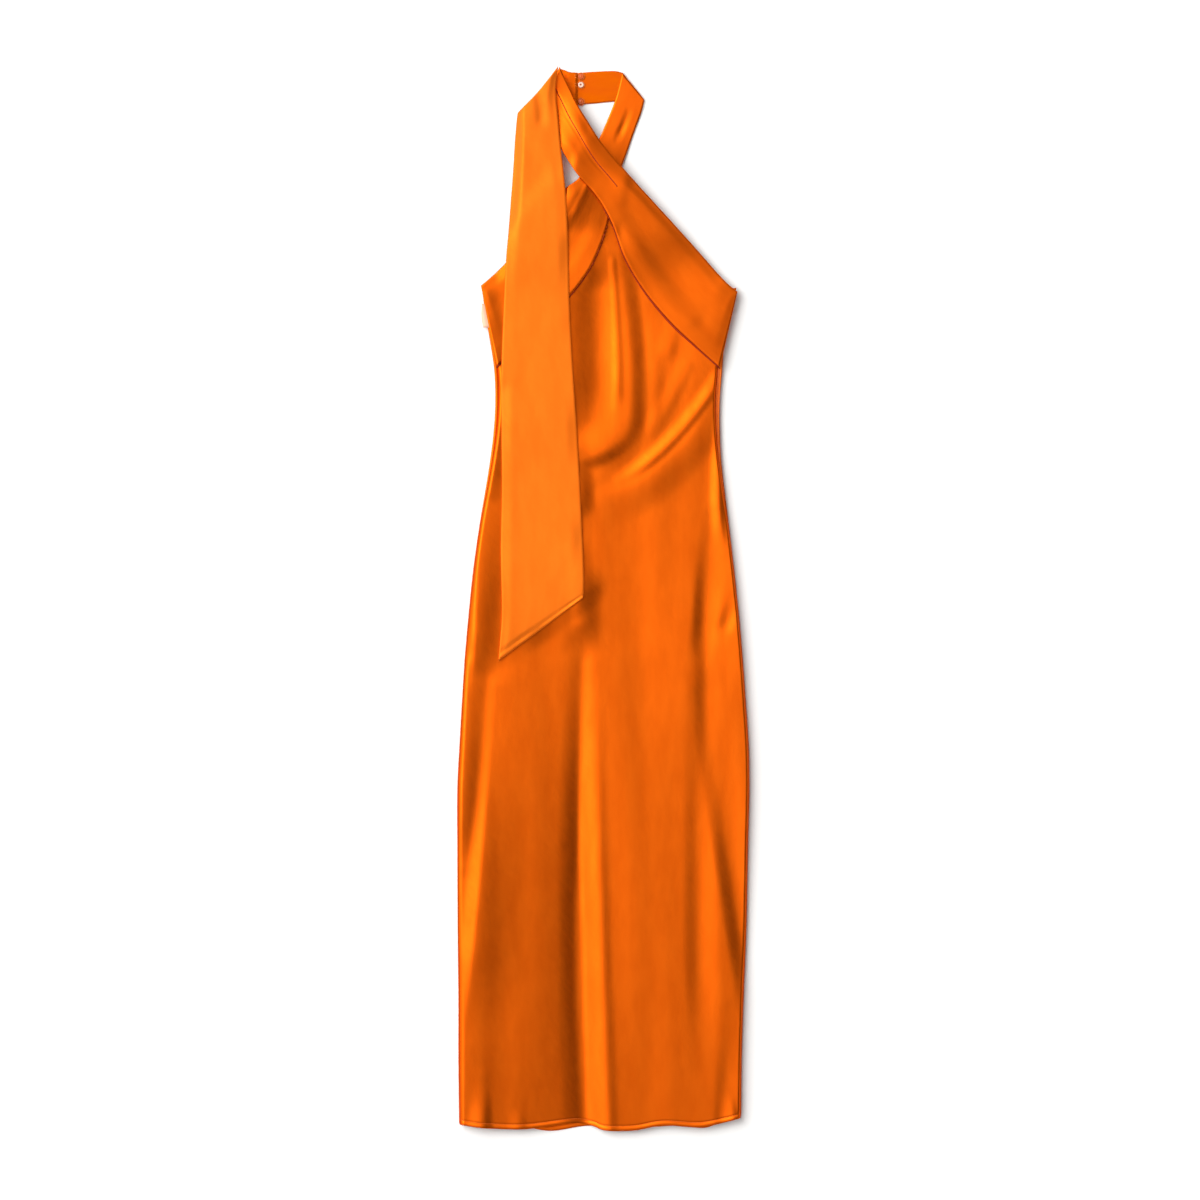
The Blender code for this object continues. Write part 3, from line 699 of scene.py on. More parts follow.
class Bed:
    """The heights of all the cloth laid so far, in millimetres on a level grid of points."""

    def __init__(self):
        self.x = np.arange(-BED_HALF_WIDTH, BED_HALF_WIDTH + BED_STEP, BED_STEP)
        self.y = np.arange(-BED_HALF_LENGTH, BED_HALF_LENGTH + BED_STEP, BED_STEP)
        self.top = np.zeros((len(self.y), len(self.x)))

    def clear(self):
        self.top[:] = 0.0

    def rest(self, x, y, reach, softness):
        """Where the underside of cloth comes to lie at each place. It clears the bed by the seam gap."""
        held = np.where(self.top > 0, self.top + SEAM_GAP, 0.0)
        laid = softened(widened(held, reach + CLEARING * softness), softness)
        laid = np.where(laid < ON_FLOOR, 0.0, laid)
        return self.read(laid, x, y)

    def surface(self, x, y):
        """The height of the cloth's top at each place."""
        return self.read(self.top, x, y)

    def read(self, grid, x, y):
        """The grid's height at each place, blended from the four points round it."""
        column = (np.asarray(x, float) - self.x[0]) / BED_STEP
        row = (np.asarray(y, float) - self.y[0]) / BED_STEP
        left = column.astype(int)
        low = row.astype(int)
        across = column - left
        up = row - low
        lower = grid[low, left] * (1 - across) + grid[low, left + 1] * across
        upper = grid[low + 1, left] * (1 - across) + grid[low + 1, left + 1] * across
        return lower * (1 - up) + upper * up

    def add(self, points):
        """Raises the bed to a grid of points, each cell of it filled in finely."""
        down = np.abs(np.diff(points[..., :2], axis=0)).max()
        sideways = np.abs(np.diff(points[..., :2], axis=1)).max()
        # Finer than the bed's own step, so that no point of it is missed
        count = int(math.ceil(1.6 * max(down, sideways) / BED_STEP)) + 1
        shares = np.linspace(0, 1, count)
        for up in shares:
            for across in shares:
                low = points[:-1, :-1] * (1 - across) + points[:-1, 1:] * across
                high = points[1:, :-1] * (1 - across) + points[1:, 1:] * across
                filled = (low * (1 - up) + high * up).reshape(-1, 3)
                column = np.round((filled[:, 0] - self.x[0]) / BED_STEP).astype(int)
                row = np.round((filled[:, 1] - self.y[0]) / BED_STEP).astype(int)
                np.maximum.at(self.top, (row, column), filled[:, 2])


bed = Bed()

# ---------------------------------------------------------------------------------------------------------
# Materials
# ---------------------------------------------------------------------------------------------------------


def add_node(tree, kind, settings=None, inputs=None, links=None):
    """A node of this kind, with its own settings, the values of its inputs and the outputs linked into it."""
    node = tree.nodes.new(kind)
    for name, value in (settings or {}).items():
        setattr(node, name, value)
    for name, value in (inputs or {}).items():
        node.inputs[name].default_value = value
    for name, output in (links or {}).items():
        tree.links.new(output, node.inputs[name])
    return node


def new_material(name):
    """An empty material, its node tree and its output node."""
    material = bpy.data.materials.new(name)
    material.use_nodes = True
    tree = material.node_tree
    tree.nodes.clear()
    return material, tree, add_node(tree, "ShaderNodeOutputMaterial")


# Polyester charmeuse satin, woven and piece dyed. Its long warp floats give a deep gloss that keeps the
# colour of the dye, so most of the shine is metallic, and it stretches across the threads. Turn is the angle
# of the grain in degrees, and crinkle the height of its mottle in millimetres.
Satin = namedtuple("Satin", "name colour deep metallic roughness anisotropy turn crinkle")
# Real warp threads lie 0.1 mm apart. They are drawn 1.1 mm apart, so that they show at all in a close view.
THREAD_STEP = 1.1
# The wave texture draws a band every 0.1 pi of its own length
WAVE_BAND = 0.1 * math.pi
# The mottle where the cloth has been handled, 16 mm from patch to patch and drawn out along the piece, and
# its fine streaks of 3.5 mm, by which the gloss goes up and down
MOTTLE_STEP = 16.0
MOTTLE_STRETCH = 3.5
STREAK_STEP = 3.5
STREAK_STRETCH = 5.0
STREAK_GLOSS = 0.05
# How high the streaks and the threads stand, in millimetres
STREAK_DEPTH = 0.05
THREAD_DEPTH = 0.008


def satin_material(satin):
    """Woven satin: mottled dye, streaked gloss, and the relief of its threads."""
    material, tree, output = new_material(satin.name)
    place = add_node(tree, "ShaderNodeTexCoord").outputs["UV"]
    grain = add_node(
        tree,
        "ShaderNodeMapping",
        inputs={"Rotation": (0, 0, math.radians(satin.turn))},
        links={"Vector": place},
    ).outputs["Vector"]
    long_grain = add_node(
        tree,
        "ShaderNodeMapping",
        inputs={"Scale": (1.0, 1.0 / STREAK_STRETCH, 1.0)},
        links={"Vector": grain},
    ).outputs["Vector"]
    hung = add_node(
        tree,
        "ShaderNodeMapping",
        inputs={"Scale": (1.0, 1.0 / MOTTLE_STRETCH, 1.0)},
        links={"Vector": place},
    ).outputs["Vector"]
    mottle = add_node(
        tree,
        "ShaderNodeTexNoise",
        inputs={"Scale": 1000 / MOTTLE_STEP, "Detail": 3.0, "Roughness": 0.5},
        links={"Vector": hung},
    ).outputs["Fac"]
    streak = add_node(
        tree,
        "ShaderNodeTexNoise",
        inputs={"Scale": 1000 / STREAK_STEP, "Detail": 4.0, "Roughness": 0.6},
        links={"Vector": long_grain},
    ).outputs["Fac"]
    threads = add_node(
        tree,
        "ShaderNodeTexWave",
        settings={"bands_direction": "X"},
        inputs={
            "Scale": 1000 * WAVE_BAND / THREAD_STEP,
            "Distortion": 0.6,
            "Detail": 1.0,
            "Detail Scale": 3.0,
        },
        links={"Vector": grain},
    ).outputs["Fac"]
    dye = add_node(
        tree,
        "ShaderNodeMapRange",
        inputs={"From Min": 0.35, "From Max": 0.65, "To Min": 0.0, "To Max": 1.0},
        links={"Value": mottle},
    ).outputs["Result"]
    colour = add_node(
        tree,
        "ShaderNodeMix",
        settings={"data_type": "RGBA"},
        inputs={"A": (*satin.deep, 1.0), "B": (*satin.colour, 1.0)},
        links={"Factor": dye},
    ).outputs["Result"]
    gloss = add_node(
        tree,
        "ShaderNodeMapRange",
        inputs={
            "From Min": 0.3,
            "From Max": 0.7,
            "To Min": satin.roughness - STREAK_GLOSS,
            "To Max": satin.roughness + STREAK_GLOSS,
        },
        links={"Value": streak},
    ).outputs["Result"]
    crinkled = add_node(
        tree,
        "ShaderNodeBump",
        inputs={"Strength": 1.0, "Distance": satin.crinkle * MM},
        links={"Height": mottle},
    ).outputs["Normal"]
    streaked = add_node(
        tree,
        "ShaderNodeBump",
        inputs={"Strength": 0.5, "Distance": STREAK_DEPTH * MM},
        links={"Height": streak, "Normal": crinkled},
    ).outputs["Normal"]
    woven = add_node(
        tree,
        "ShaderNodeBump",
        inputs={"Strength": 0.35, "Distance": THREAD_DEPTH * MM},
        links={"Height": threads, "Normal": streaked},
    ).outputs["Normal"]
    tangent = add_node(tree, "ShaderNodeTangent", settings={"direction_type": "UV_MAP", "uv_map": "UVMap"})
    shader = add_node(
        tree,
        "ShaderNodeBsdfPrincipled",
        inputs={
            "Metallic": satin.metallic,
            "IOR": 1.45,
            "Specular IOR Level": 0.25,
            "Anisotropic": satin.anisotropy,
            # Seen at a low angle, the gloss keeps the dye's hue and pales only a little
            "Specular Tint": (*(math.sqrt(c) for c in satin.colour), 1.0),
        },
        links={
            "Base Color": colour,
            "Roughness": gloss,
            "Normal": woven,
            "Tangent": tangent.outputs["Tangent"],
        },
    )
    tree.links.new(shader.outputs["BSDF"], output.inputs["Surface"])
    return material


# Plain small parts: spun thread, woven ribbon and tape, drawn nylon and turned buttons. Step and depth are
# the size and height of the grain in millimetres, and shade is how dark the colour gets in it.
Plain = namedtuple("Plain", "name colour roughness step depth metallic coat shade", defaults=(0.0, 0.0, 0.82))


def plain_material(plain):
    """A single colour, broken up by a fine grain of its own size."""
    material, tree, output = new_material(plain.name)
    place = add_node(tree, "ShaderNodeTexCoord").outputs["Object"]
    grain = add_node(
        tree,
        "ShaderNodeTexNoise",
        inputs={"Scale": 1000 / plain.step, "Detail": 3.0},
        links={"Vector": place},
    ).outputs["Fac"]
    colour = add_node(
        tree,
        "ShaderNodeMix",
        settings={"data_type": "RGBA"},
        inputs={"A": (*(plain.shade * c for c in plain.colour), 1.0), "B": (*plain.colour, 1.0)},
        links={"Factor": grain},
    ).outputs["Result"]
    bump = add_node(
        tree,
        "ShaderNodeBump",
        inputs={"Strength": 0.6, "Distance": plain.depth * MM},
        links={"Height": grain},
    ).outputs["Normal"]
    shader = add_node(
        tree,
        "ShaderNodeBsdfPrincipled",
        inputs={
            "Metallic": plain.metallic,
            "Roughness": plain.roughness,
            "IOR": 1.5,
            "Specular IOR Level": 0.25,
            "Coat Weight": plain.coat,
            "Coat Roughness": 0.12,
        },
        links={"Base Color": colour, "Normal": bump},
    )
    tree.links.new(shader.outputs["BSDF"], output.inputs["Surface"])
    return material


# ---------------------------------------------------------------------------------------------------------
# Meshes
# ---------------------------------------------------------------------------------------------------------


def add_piece(name, points, faces, material, places=None):
    """An object of these points, in millimetres, and faces. `places` are the points' UVs, in metres."""
    mesh = bpy.data.meshes.new(name)
    mesh.from_pydata([tuple(point * MM) for point in points], [], [tuple(map(int, face)) for face in faces])
    mesh.shade_smooth()
    mesh.materials.append(material)
    if places is not None:
        layer = mesh.uv_layers.new(name="UVMap")
        corners = np.empty(len(mesh.loops), np.int32)
        mesh.loops.foreach_get("vertex_index", corners)
        layer.data.foreach_set("uv", np.asarray(places, np.float32)[corners].reshape(-1))
    piece = bpy.data.objects.new(name, mesh)
    bpy.context.scene.collection.objects.link(piece)
    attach(piece, BODY)
    return piece


def grid_faces(rows, columns):
    """The cells of a grid of points, facing up where rows run down and columns run to the right."""
    corner = (np.arange(rows - 1)[:, None] * columns + np.arange(columns - 1)[None, :]).reshape(-1)
    return np.column_stack([corner, corner + columns, corner + columns + 1, corner + 1])


def cloth_places(points):
    """A grid's UVs in metres: how far each point lies across and along the cloth."""
    across = np.linalg.norm(np.diff(points, axis=1), axis=2).cumsum(axis=1)
    along = np.linalg.norm(np.diff(points, axis=0), axis=2).cumsum(axis=0)
    u = np.hstack([np.zeros((len(points), 1)), across])
    u = u - u[:, -1:] / 2
    v = np.vstack([np.zeros((1, points.shape[1])), along]).mean(axis=1)[:, None] + 0 * u
    return np.dstack([u, v]).reshape(-1, 2) * MM


def lay_cloth(name, node, plan, under, material, wall):
    """A shell of cloth over the plan, a grid of places in millimetres, whose underside lies at `under`."""
    if np.cross(plan[1, 0] - plan[0, 0], plan[0, 1] - plan[0, 0]) < 0:
        plan = plan[:, ::-1]
        under = under[:, ::-1]
    points = np.dstack([plan, under + wall])
    rows, columns = under.shape
    piece = add_piece(
        name, points.reshape(-1, 3), grid_faces(rows, columns), material, cloth_places(points)
    )
    shell = piece.modifiers.new("cloth_thickness", "SOLIDIFY")
    shell.thickness = wall * MM
    shell.offset = -1.0
    shell.use_even_offset = False
    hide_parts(node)
    bed.add(points)
    return piece


# How much closer together the columns are at the edges of the body and of the slanted pieces
BODY_CLOSENESS = 0.3
SLANT_CLOSENESS = 0.6


def edge_shares(columns, closeness):
    """Shares of the way across a piece, closer together at both edges."""
    t = np.linspace(0, 1, columns + 1)
    return t - closeness * np.sin(2 * math.pi * t) / (2 * math.pi)


def tube_points(path, radius, sides):
    """Rings of points round a path that is given in millimetres."""
    path = np.asarray(path, float)
    ahead = np.gradient(path, axis=0)
    ahead /= np.linalg.norm(ahead, axis=1)[:, None]
    side = np.cross(ahead, (0.0, 0.0, 1.0))
    side /= np.maximum(np.linalg.norm(side, axis=1), 1e-6)[:, None]
    above = np.cross(side, ahead)
    turn = np.linspace(0, 2 * math.pi, sides, endpoint=False)
    ring = np.cos(turn)[None, :, None] * side[:, None] + np.sin(turn)[None, :, None] * above[:, None]
    return path[:, None] + np.broadcast_to(radius, len(path))[:, None, None] * ring


def tube_faces(rings, sides, first=0):
    """The faces of a tube, closed at both ends."""
    faces = []
    for r in range(rings - 1):
        for s in range(sides):
            here = first + r * sides + s
            beside = first + r * sides + (s + 1) % sides
            faces.append((here, here + sides, beside + sides, beside))
    faces.append([first + s for s in range(sides)])
    faces.append([first + (rings - 1) * sides + s for s in range(sides)][::-1])
    return faces


def tubes(name, paths, radii, sides, material):
    """One object of tubes, such as the stitches of a seam. A tube has one radius, or one for each place."""
    points = []
    faces = []
    for path, radius in zip(paths, radii):
        rings = tube_points(path, radius, sides).reshape(-1, 3)
        faces += tube_faces(len(path), sides, len(points))
        points += list(rings)
    return add_piece(name, np.array(points), faces, material)


# ---------------------------------------------------------------------------------------------------------
# The body's plan
# ---------------------------------------------------------------------------------------------------------


def edge_reader(sides):
    """A function that gives the left and the right edge at any height."""
    curve = through(np.array([(side.y, side.left, side.right) for side in sides]), 240)[::-1]
    return lambda y: (np.interp(y, curve[:, 0], curve[:, 1]), np.interp(y, curve[:, 0], curve[:, 2]))


def body_rows(top, cell, hem_depth):
    """Row heights from the top down to the hem, with short rows over the hem's bead."""
    hem = SIDES[-1].y
    bead = hem + SHORT_ROWS_TOP * hem_depth
    upper = np.linspace(top, bead, int((top - bead) / cell))
    lower = np.linspace(bead, hem, SHORT_ROWS + 1)
    return np.concatenate([upper, lower[1:]])


def hem_drop(waves, x, y):
    """How far the hem's waves carry each place down: all the way at the hem, nothing above its reach."""
    places = np.array([(wave.x, wave.drop) for wave in waves], float)
    smooth = through(places, 200)
    drop = np.interp(x, smooth[:, 0], smooth[:, 1])
    return drop * smooth_step(1 - (y - SIDES[-1].y) / HEM_REACH)


def body_plan(y, left, right, waves, columns):
    """A grid of places over a body panel, its rows carried down by the hem's waves."""
    share = edge_shares(columns, BODY_CLOSENESS)
    x = left[:, None] * (1 - share) + right[:, None] * share
    rows = np.broadcast_to(y[:, None], x.shape)
    return np.dstack([x, rows - hem_drop(waves, x, rows)])


def hem_bead(y, depth, rise):
    """The rolled hem: a soft bead along the lower edge, and the thin groove of its stitches above it."""
    up = (y - SIDES[-1].y) / depth
    bead = np.sqrt(np.clip(1 - ((up - BEAD_MIDDLE) / BEAD_HALF_WIDTH) ** 2, 0, 1))
    groove = np.exp(-(((up - STITCH_LINE) / GROOVE_WIDTH) ** 2))
    return rise * (bead - GROOVE_SHARE * groove)


def front_edges(y):
    """The front's edges: tucked under the bust above the waist, just inside the back's edges below it."""
    waist = FRONT_TOP[-1].y
    side_left, side_right = edge_reader(SIDES)(y)
    shown = smooth_step((y - STRIP_END) / (STRIP_TOP - STRIP_END)) ** STRIP_WIDENING
    low_left = side_left + EDGE_INSET + STRIP_LEFT * shown
    low_right = side_right - EDGE_INSET - STRIP_RIGHT * shown
    tuck_left, tuck_right = edge_reader(FRONT_TOP)(y)
    return np.where(y > waist, tuck_left, low_left), np.where(y > waist, tuck_right, low_right)


# ---------------------------------------------------------------------------------------------------------
# Pieces that run along a slant
# ---------------------------------------------------------------------------------------------------------


def plan_of(sections, columns, row_length, bow=0.0):
    """A grid of places over a piece that runs along a slant. The bow moves its first edge's middle inward."""
    outer = np.array([(s.outer_x, s.outer_y) for s in sections])
    inner = np.array([(s.inner_x, s.inner_y) for s in sections])
    middle = (outer + inner) / 2
    length = np.linalg.norm(np.diff(middle, axis=0), axis=1).sum()
    edges = through(np.hstack([outer, inner]), int(length / row_length))
    share = edge_shares(columns, SLANT_CLOSENESS)[None, :, None]
    plan = edges[:, None, :2] * (1 - share) + edges[:, None, 2:] * share
    inward = (middle[1] - middle[0]) / np.linalg.norm(middle[1] - middle[0])
    travelled = np.linspace(0, length, len(plan))
    dying = np.clip(1 - travelled / BOW_LENGTH, 0, 1)[:, None, None]
    return plan + bow * dying * np.sin(math.pi * share) * inward


def share_grids(plan):
    """For each place of a plan, its share of the way along the rows and across the columns."""
    rows, columns = plan.shape[:2]
    across = edge_shares(columns - 1, SLANT_CLOSENESS)
    return np.meshgrid(np.linspace(0, 1, rows), across, indexing="ij")


def from_long_edges(plan):
    """How far each place lies from the nearer long edge, in millimetres."""
    width = np.linalg.norm(plan[:, -1] - plan[:, 0], axis=1)[:, None]
    across = share_grids(plan)[1]
    return np.minimum(across, 1 - across) * width


def levelled(under):
    """The lowest height at which cloth can lie level across itself and bend only slowly along itself."""
    tops = under.max(axis=1)
    reach = int(LEVEL_SPAN / ROW_LENGTH)
    padded = np.pad(tops, reach, mode="edge")
    widest = np.array([padded[k : k + 2 * reach + 1].max() for k in range(len(tops))])
    kernel = np.hanning(2 * reach + 3)
    smooth = np.convolve(np.pad(widest, reach + 1, mode="edge"), kernel / kernel.sum(), "valid")
    return np.maximum(smooth, tops)[:, None]


# How one slanted piece lies: how softly it follows what is under it, the height of its turned edges, the
# share of the way to level that it is drawn to, and how much of that its edges lose
Lie = namedtuple("Lie", "softness roll level droop")


def lay_slanted(node, sections, folds, material, lie, extra=None, bow=0.0):
    """A piece that runs along a slant, over whatever lies under it, with soft turned edges."""
    sizes = bpy.context.scene.dress_sizes
    plan = plan_of(sections, sizes.strap_columns, ROW_LENGTH, bow)
    x = plan[..., 0]
    y = plan[..., 1]
    along, across = share_grids(plan)
    under = bed.rest(x, y, REST_REACH, lie.softness)
    from_edge = from_long_edges(plan)
    from_end = (1 - along) * len(plan) * ROW_LENGTH
    settled = 1 - lie.droop * (1 - smooth_step(np.minimum(from_edge, from_end) / DROOP_REACH))
    under = under + lie.level * settled * (levelled(under) - under)
    under = under + folds_height(folds, x, y)
    if extra:
        width = np.linalg.norm(plan[:, -1] - plan[:, 0], axis=1)[:, None]
        under = under + extra(along, across, width)
    under = under + lie.roll * smooth_step(from_edge / EDGE_ROUND)
    return lay_cloth(node + "_cloth", node, plan, under, material, sizes.wall / MM)


def ply_share(along):
    """How far across the right strap the free edge of its upper ply lies."""
    return PLY_SHARE_TOP + (PLY_SHARE_END - PLY_SHARE_TOP) * smooth_step(along / PLY_LENGTH_SHARE)


def strap_ply(along, across, width):
    """The right strap folded over lengthwise beside its neck edge, with a narrow gap under the upper ply."""
    beyond = (across - ply_share(along)) * width
    upper = smooth_step((PLY_EDGE - beyond) / PLY_EDGE)
    gap = np.exp(-(((beyond - PLY_GAP_PLACE) / PLY_EDGE) ** 2))
    fading = smooth_step((PLY_LENGTH_SHARE - along) / PLY_FADE_SHARE)
    ply = (PLY_RISE * upper - PLY_GAP * gap) * fading
    return ply + STRAP_LIFT * (1 - smooth_step(along / STRAP_LIFT_SHARE))


def scarf_extra(along, across, width):
    """The scarf rises to the thick fold at the neck, and its slanted end has an uneven rolled lip."""
    lift = SCARF_LIFT * (1 - smooth_step(along / SCARF_LIFT_SHARE))
    up = (1 - along) * SCARF_LENGTH / LIP_WIDTH
    # No hand rolls a lip quite evenly: it swells and thins a few times on its way across
    uneven = 1 + 0.5 * np.sin(9.0 * across) + 0.4 * np.sin(23.0 * across + 1.0)
    bead = np.exp(-((up - LIP_MIDDLE) ** 2) / LIP_SPREAD)
    groove = np.exp(-((up - LIP_GROOVE) ** 2) / LIP_SPREAD)
    return lift + LIP_RISE * uneven * (bead - LIP_GROOVE_SHARE * groove)


# ---------------------------------------------------------------------------------------------------------
# Operators
# ---------------------------------------------------------------------------------------------------------


# Body and scarf are cut on the bias, so their threads run at 45 degrees. Those of the bust panels run nearer
# to the panels' length.
BIAS_TURN = 45.0
BUST_TURN = 20.0


def face_satin(name, turn, colours):
    """The shiny face of the dress's satin, with its grain turned by so many degrees."""
    return satin_material(
        Satin(
            name,
            colour=tuple(colours.satin),
            deep=tuple(colours.satin_deep),
            metallic=0.9,
            roughness=0.36,
            anisotropy=0.35,
            turn=turn,
            crinkle=0.12,
        )
    )


def need_nodes(*names):
    """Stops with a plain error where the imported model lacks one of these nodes."""
    missing = [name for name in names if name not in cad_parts]
    if missing:
        raise RuntimeError("the packed model lacks " + ", ".join(missing))


class DRESS_OT_stage(bpy.types.Operator):
    """Sets up the pale floor, the soft light and the camera straight above the dress"""

    bl_idname = "dress.stage"
    bl_label = "Studio"

    def execute(self, context):
        studio = context.scene.dress_studio
        colours = context.scene.dress_colours
        bed.clear()
        self.add_floor(colours)
        self.add_key_light(context, studio)
        self.add_room(context, studio)
        context.scene.view_settings.view_transform = "Standard"
        self.add_camera(context, studio)
        return {"FINISHED"}

    def add_floor(self, colours):
        """A level sheet of matt paper board, pressed smooth, so it shows only a faint soft shadow."""
        board = Plain(
            "matt_paper_board_pressed",
            tuple(colours.floor),
            roughness=0.9,
            step=1.5,
            depth=0.01,
            shade=0.97,
        )
        mesh = bpy.data.meshes.new("floor")
        reach = FLOOR_REACH
        corners = [(-reach, -reach, 0), (reach, -reach, 0), (reach, reach, 0), (-reach, reach, 0)]
        mesh.from_pydata(corners, [], [(0, 1, 2, 3)])
        mesh.materials.append(plain_material(board))
        floor = bpy.data.objects.new("floor", mesh)
        bpy.context.scene.collection.objects.link(floor)

    def add_room(self, context, studio):
        """A soft glow at the upper left of a dim room, so that each fold has a bright and a dark flank."""
        world = bpy.data.worlds.new("studio_room")
        world.use_nodes = True
        tree = world.node_tree
        way = add_node(tree, "ShaderNodeTexCoord").outputs["Generated"]
        toward = add_node(
            tree, "ShaderNodeVectorMath", {"operation": "DOT_PRODUCT"}, {1: GLOW_CENTRE}, {0: way}
        ).outputs["Value"]
        near = self.calculate(tree, "MAXIMUM", toward, 0.0)
        focused = self.calculate(tree, "POWER", near, GLOW_FOCUS)
        glow = self.calculate(tree, "MULTIPLY", focused, studio.glow)
        height = add_node(tree, "ShaderNodeSeparateXYZ", links={0: way}).outputs["Z"]
        low = self.calculate(tree, "SUBTRACT", 1.0, self.calculate(tree, "ABSOLUTE", height))
        lowest = self.calculate(tree, "POWER", low, WALL_FOCUS)
        walls = self.calculate(tree, "MULTIPLY", lowest, studio.walls)
        level = self.calculate(tree, "ADD", self.calculate(tree, "ADD", glow, walls), studio.dim)
        tree.nodes["Background"].inputs["Color"].default_value = (*LIGHT_COLOUR, 1.0)
        tree.links.new(level, tree.nodes["Background"].inputs["Strength"])
        context.scene.world = world

    def calculate(self, tree, operation, *terms):
        """The result of one math node on terms that are numbers or the outputs of other nodes."""
        numbers = {k: term for k, term in enumerate(terms) if isinstance(term, float)}
        links = {k: term for k, term in enumerate(terms) if not isinstance(term, float)}
        return add_node(tree, "ShaderNodeMath", {"operation": operation}, numbers, links).outputs[0]

    def add_key_light(self, context, studio):
        """A big soft light at the top left, turned to the middle of the dress."""
        light = bpy.data.lights.new("key_light", "AREA")
        light.shape = "SQUARE"
        light.size = KEY_SIZE
        light.energy = studio.key_power
        light.color = LIGHT_COLOUR
        lamp = bpy.data.objects.new("key_light", light)
        lamp.location = KEY_PLACE
        lamp.visible_camera = False
        x, y, z = KEY_PLACE
        lamp.rotation_euler = (math.acos(z / math.hypot(x, y, z)), 0.0, math.atan2(x, -y))
        context.scene.collection.objects.link(lamp)

    def add_camera(self, context, studio):
        """A camera straight above, whose lens takes in the frame's width on the floor."""
        camera = bpy.data.cameras.new("camera")
        camera.sensor_width = 36.0
        camera.lens = camera.sensor_width * studio.camera_height / studio.frame_width
        camera.dof.use_dof = False
        view = bpy.data.objects.new("camera", camera)
        view.location = (*VIEW_CENTRE, studio.camera_height)
        context.scene.collection.objects.link(view)
        context.scene.camera = view


# The back lies plain under the front, so its mesh is coarser and its hem's bead lower, by these shares
BACK_CELL_SHARE = 1.3
BACK_COLUMNS_SHARE = 0.75
BACK_BEAD_SHARE = 0.6


class DRESS_OT_back_panel(bpy.types.Operator):
    """Lays the back panel flat on the floor, with its rolled hem"""

    bl_idname = "dress.back_panel"
    bl_label = "Back panel"

    def execute(self, context):
        need_nodes("back_body")
        sizes = context.scene.dress_sizes
        depth = sizes.hem_depth / MM
        y = body_rows(SIDES[0].y, sizes.cell / MM * BACK_CELL_SHARE, depth)
        left, right = edge_reader(SIDES)(y)
        plan = body_plan(y, left, right, BACK_HEM, int(sizes.body_columns * BACK_COLUMNS_SHARE))
        middle = (left[:, None] + right[:, None]) / 2
        off_middle = (plan[..., 0] - middle) / ((right - left)[:, None] / 2)
        near_top = smooth_step(1 - (SIDES[0].y - y[:, None]) / BACK_DIP_REACH)
        plan[..., 1] -= BACK_TOP_DIP * (1 - off_middle**2) * near_top
        rows = np.broadcast_to(y[:, None], plan.shape[:2])
        under = np.maximum(hem_bead(rows, depth, BACK_BEAD_SHARE * sizes.hem_rise / MM), 0.0)
        to_side = np.minimum(plan[..., 0] - left[:, None], right[:, None] - plan[..., 0])
        under = under + BACK_LIFT * (1 - smooth_step(to_side / LIFT_REACH))
        material = face_satin("charmeuse_satin_woven_back", BIAS_TURN, context.scene.dress_colours)
        piece = lay_cloth("back_panel", "back_body", plan, under, material, sizes.wall / MM)
        return {"FINISHED"}


class DRESS_OT_front_panel(bpy.types.Operator):
    """Lays the front panel over the back, with its cowl, its waist and skirt folds and its rolled hem"""

    bl_idname = "dress.front_panel"
    bl_label = "Front panel"

    def execute(self, context):
        need_nodes("front_body")
        sizes = context.scene.dress_sizes
        depth = sizes.hem_depth / MM
        y = body_rows(FRONT_TOP[0].y, sizes.cell / MM, depth)
        left, right = front_edges(y)
        plan = body_plan(y, left, right, FRONT_HEM, sizes.body_columns)
        x = plan[..., 0]
        to_seam = np.minimum((x - left[:, None]) / SEAM_FALL_LEFT, (right[:, None] - x) / SEAM_FALL_RIGHT)
        fall = np.sin(math.pi / 2 * np.clip(to_seam, 0, 1))
        raised = SEAM_PUFF + folds_height(FRONT_FOLDS, x, plan[..., 1]) + ripples_height(x, plan[..., 1])
        below_tuck = smooth_step((TUCK_TOP - y[:, None]) / TUCK_REACH)
        under = TUCK_HEIGHT + (SEAM_HEIGHT - TUCK_HEIGHT) * below_tuck + fall * raised
        # Troughs never reach down to the back: they level out softly just above it
        below = bed.rest(x, plan[..., 1], reach=2.0, softness=4.0)
        clear = under - np.maximum(below, TROUGH_FLOOR)
        shallow = np.minimum(clear, TROUGH_CLEARANCE)
        levelled_out = np.exp(shallow - TROUGH_CLEARANCE) - clear
        under = under + np.where(clear < TROUGH_CLEARANCE, levelled_out, 0.0)
        rows = np.broadcast_to(y[:, None], x.shape)
        under = under + hem_bead(rows, depth, sizes.hem_rise / MM)
        material = face_satin("charmeuse_satin_woven_front", BIAS_TURN, context.scene.dress_colours)
        piece = lay_cloth(
            "front_panel", "front_body", plan, under, material, sizes.wall / MM
        )
        return {"FINISHED"}


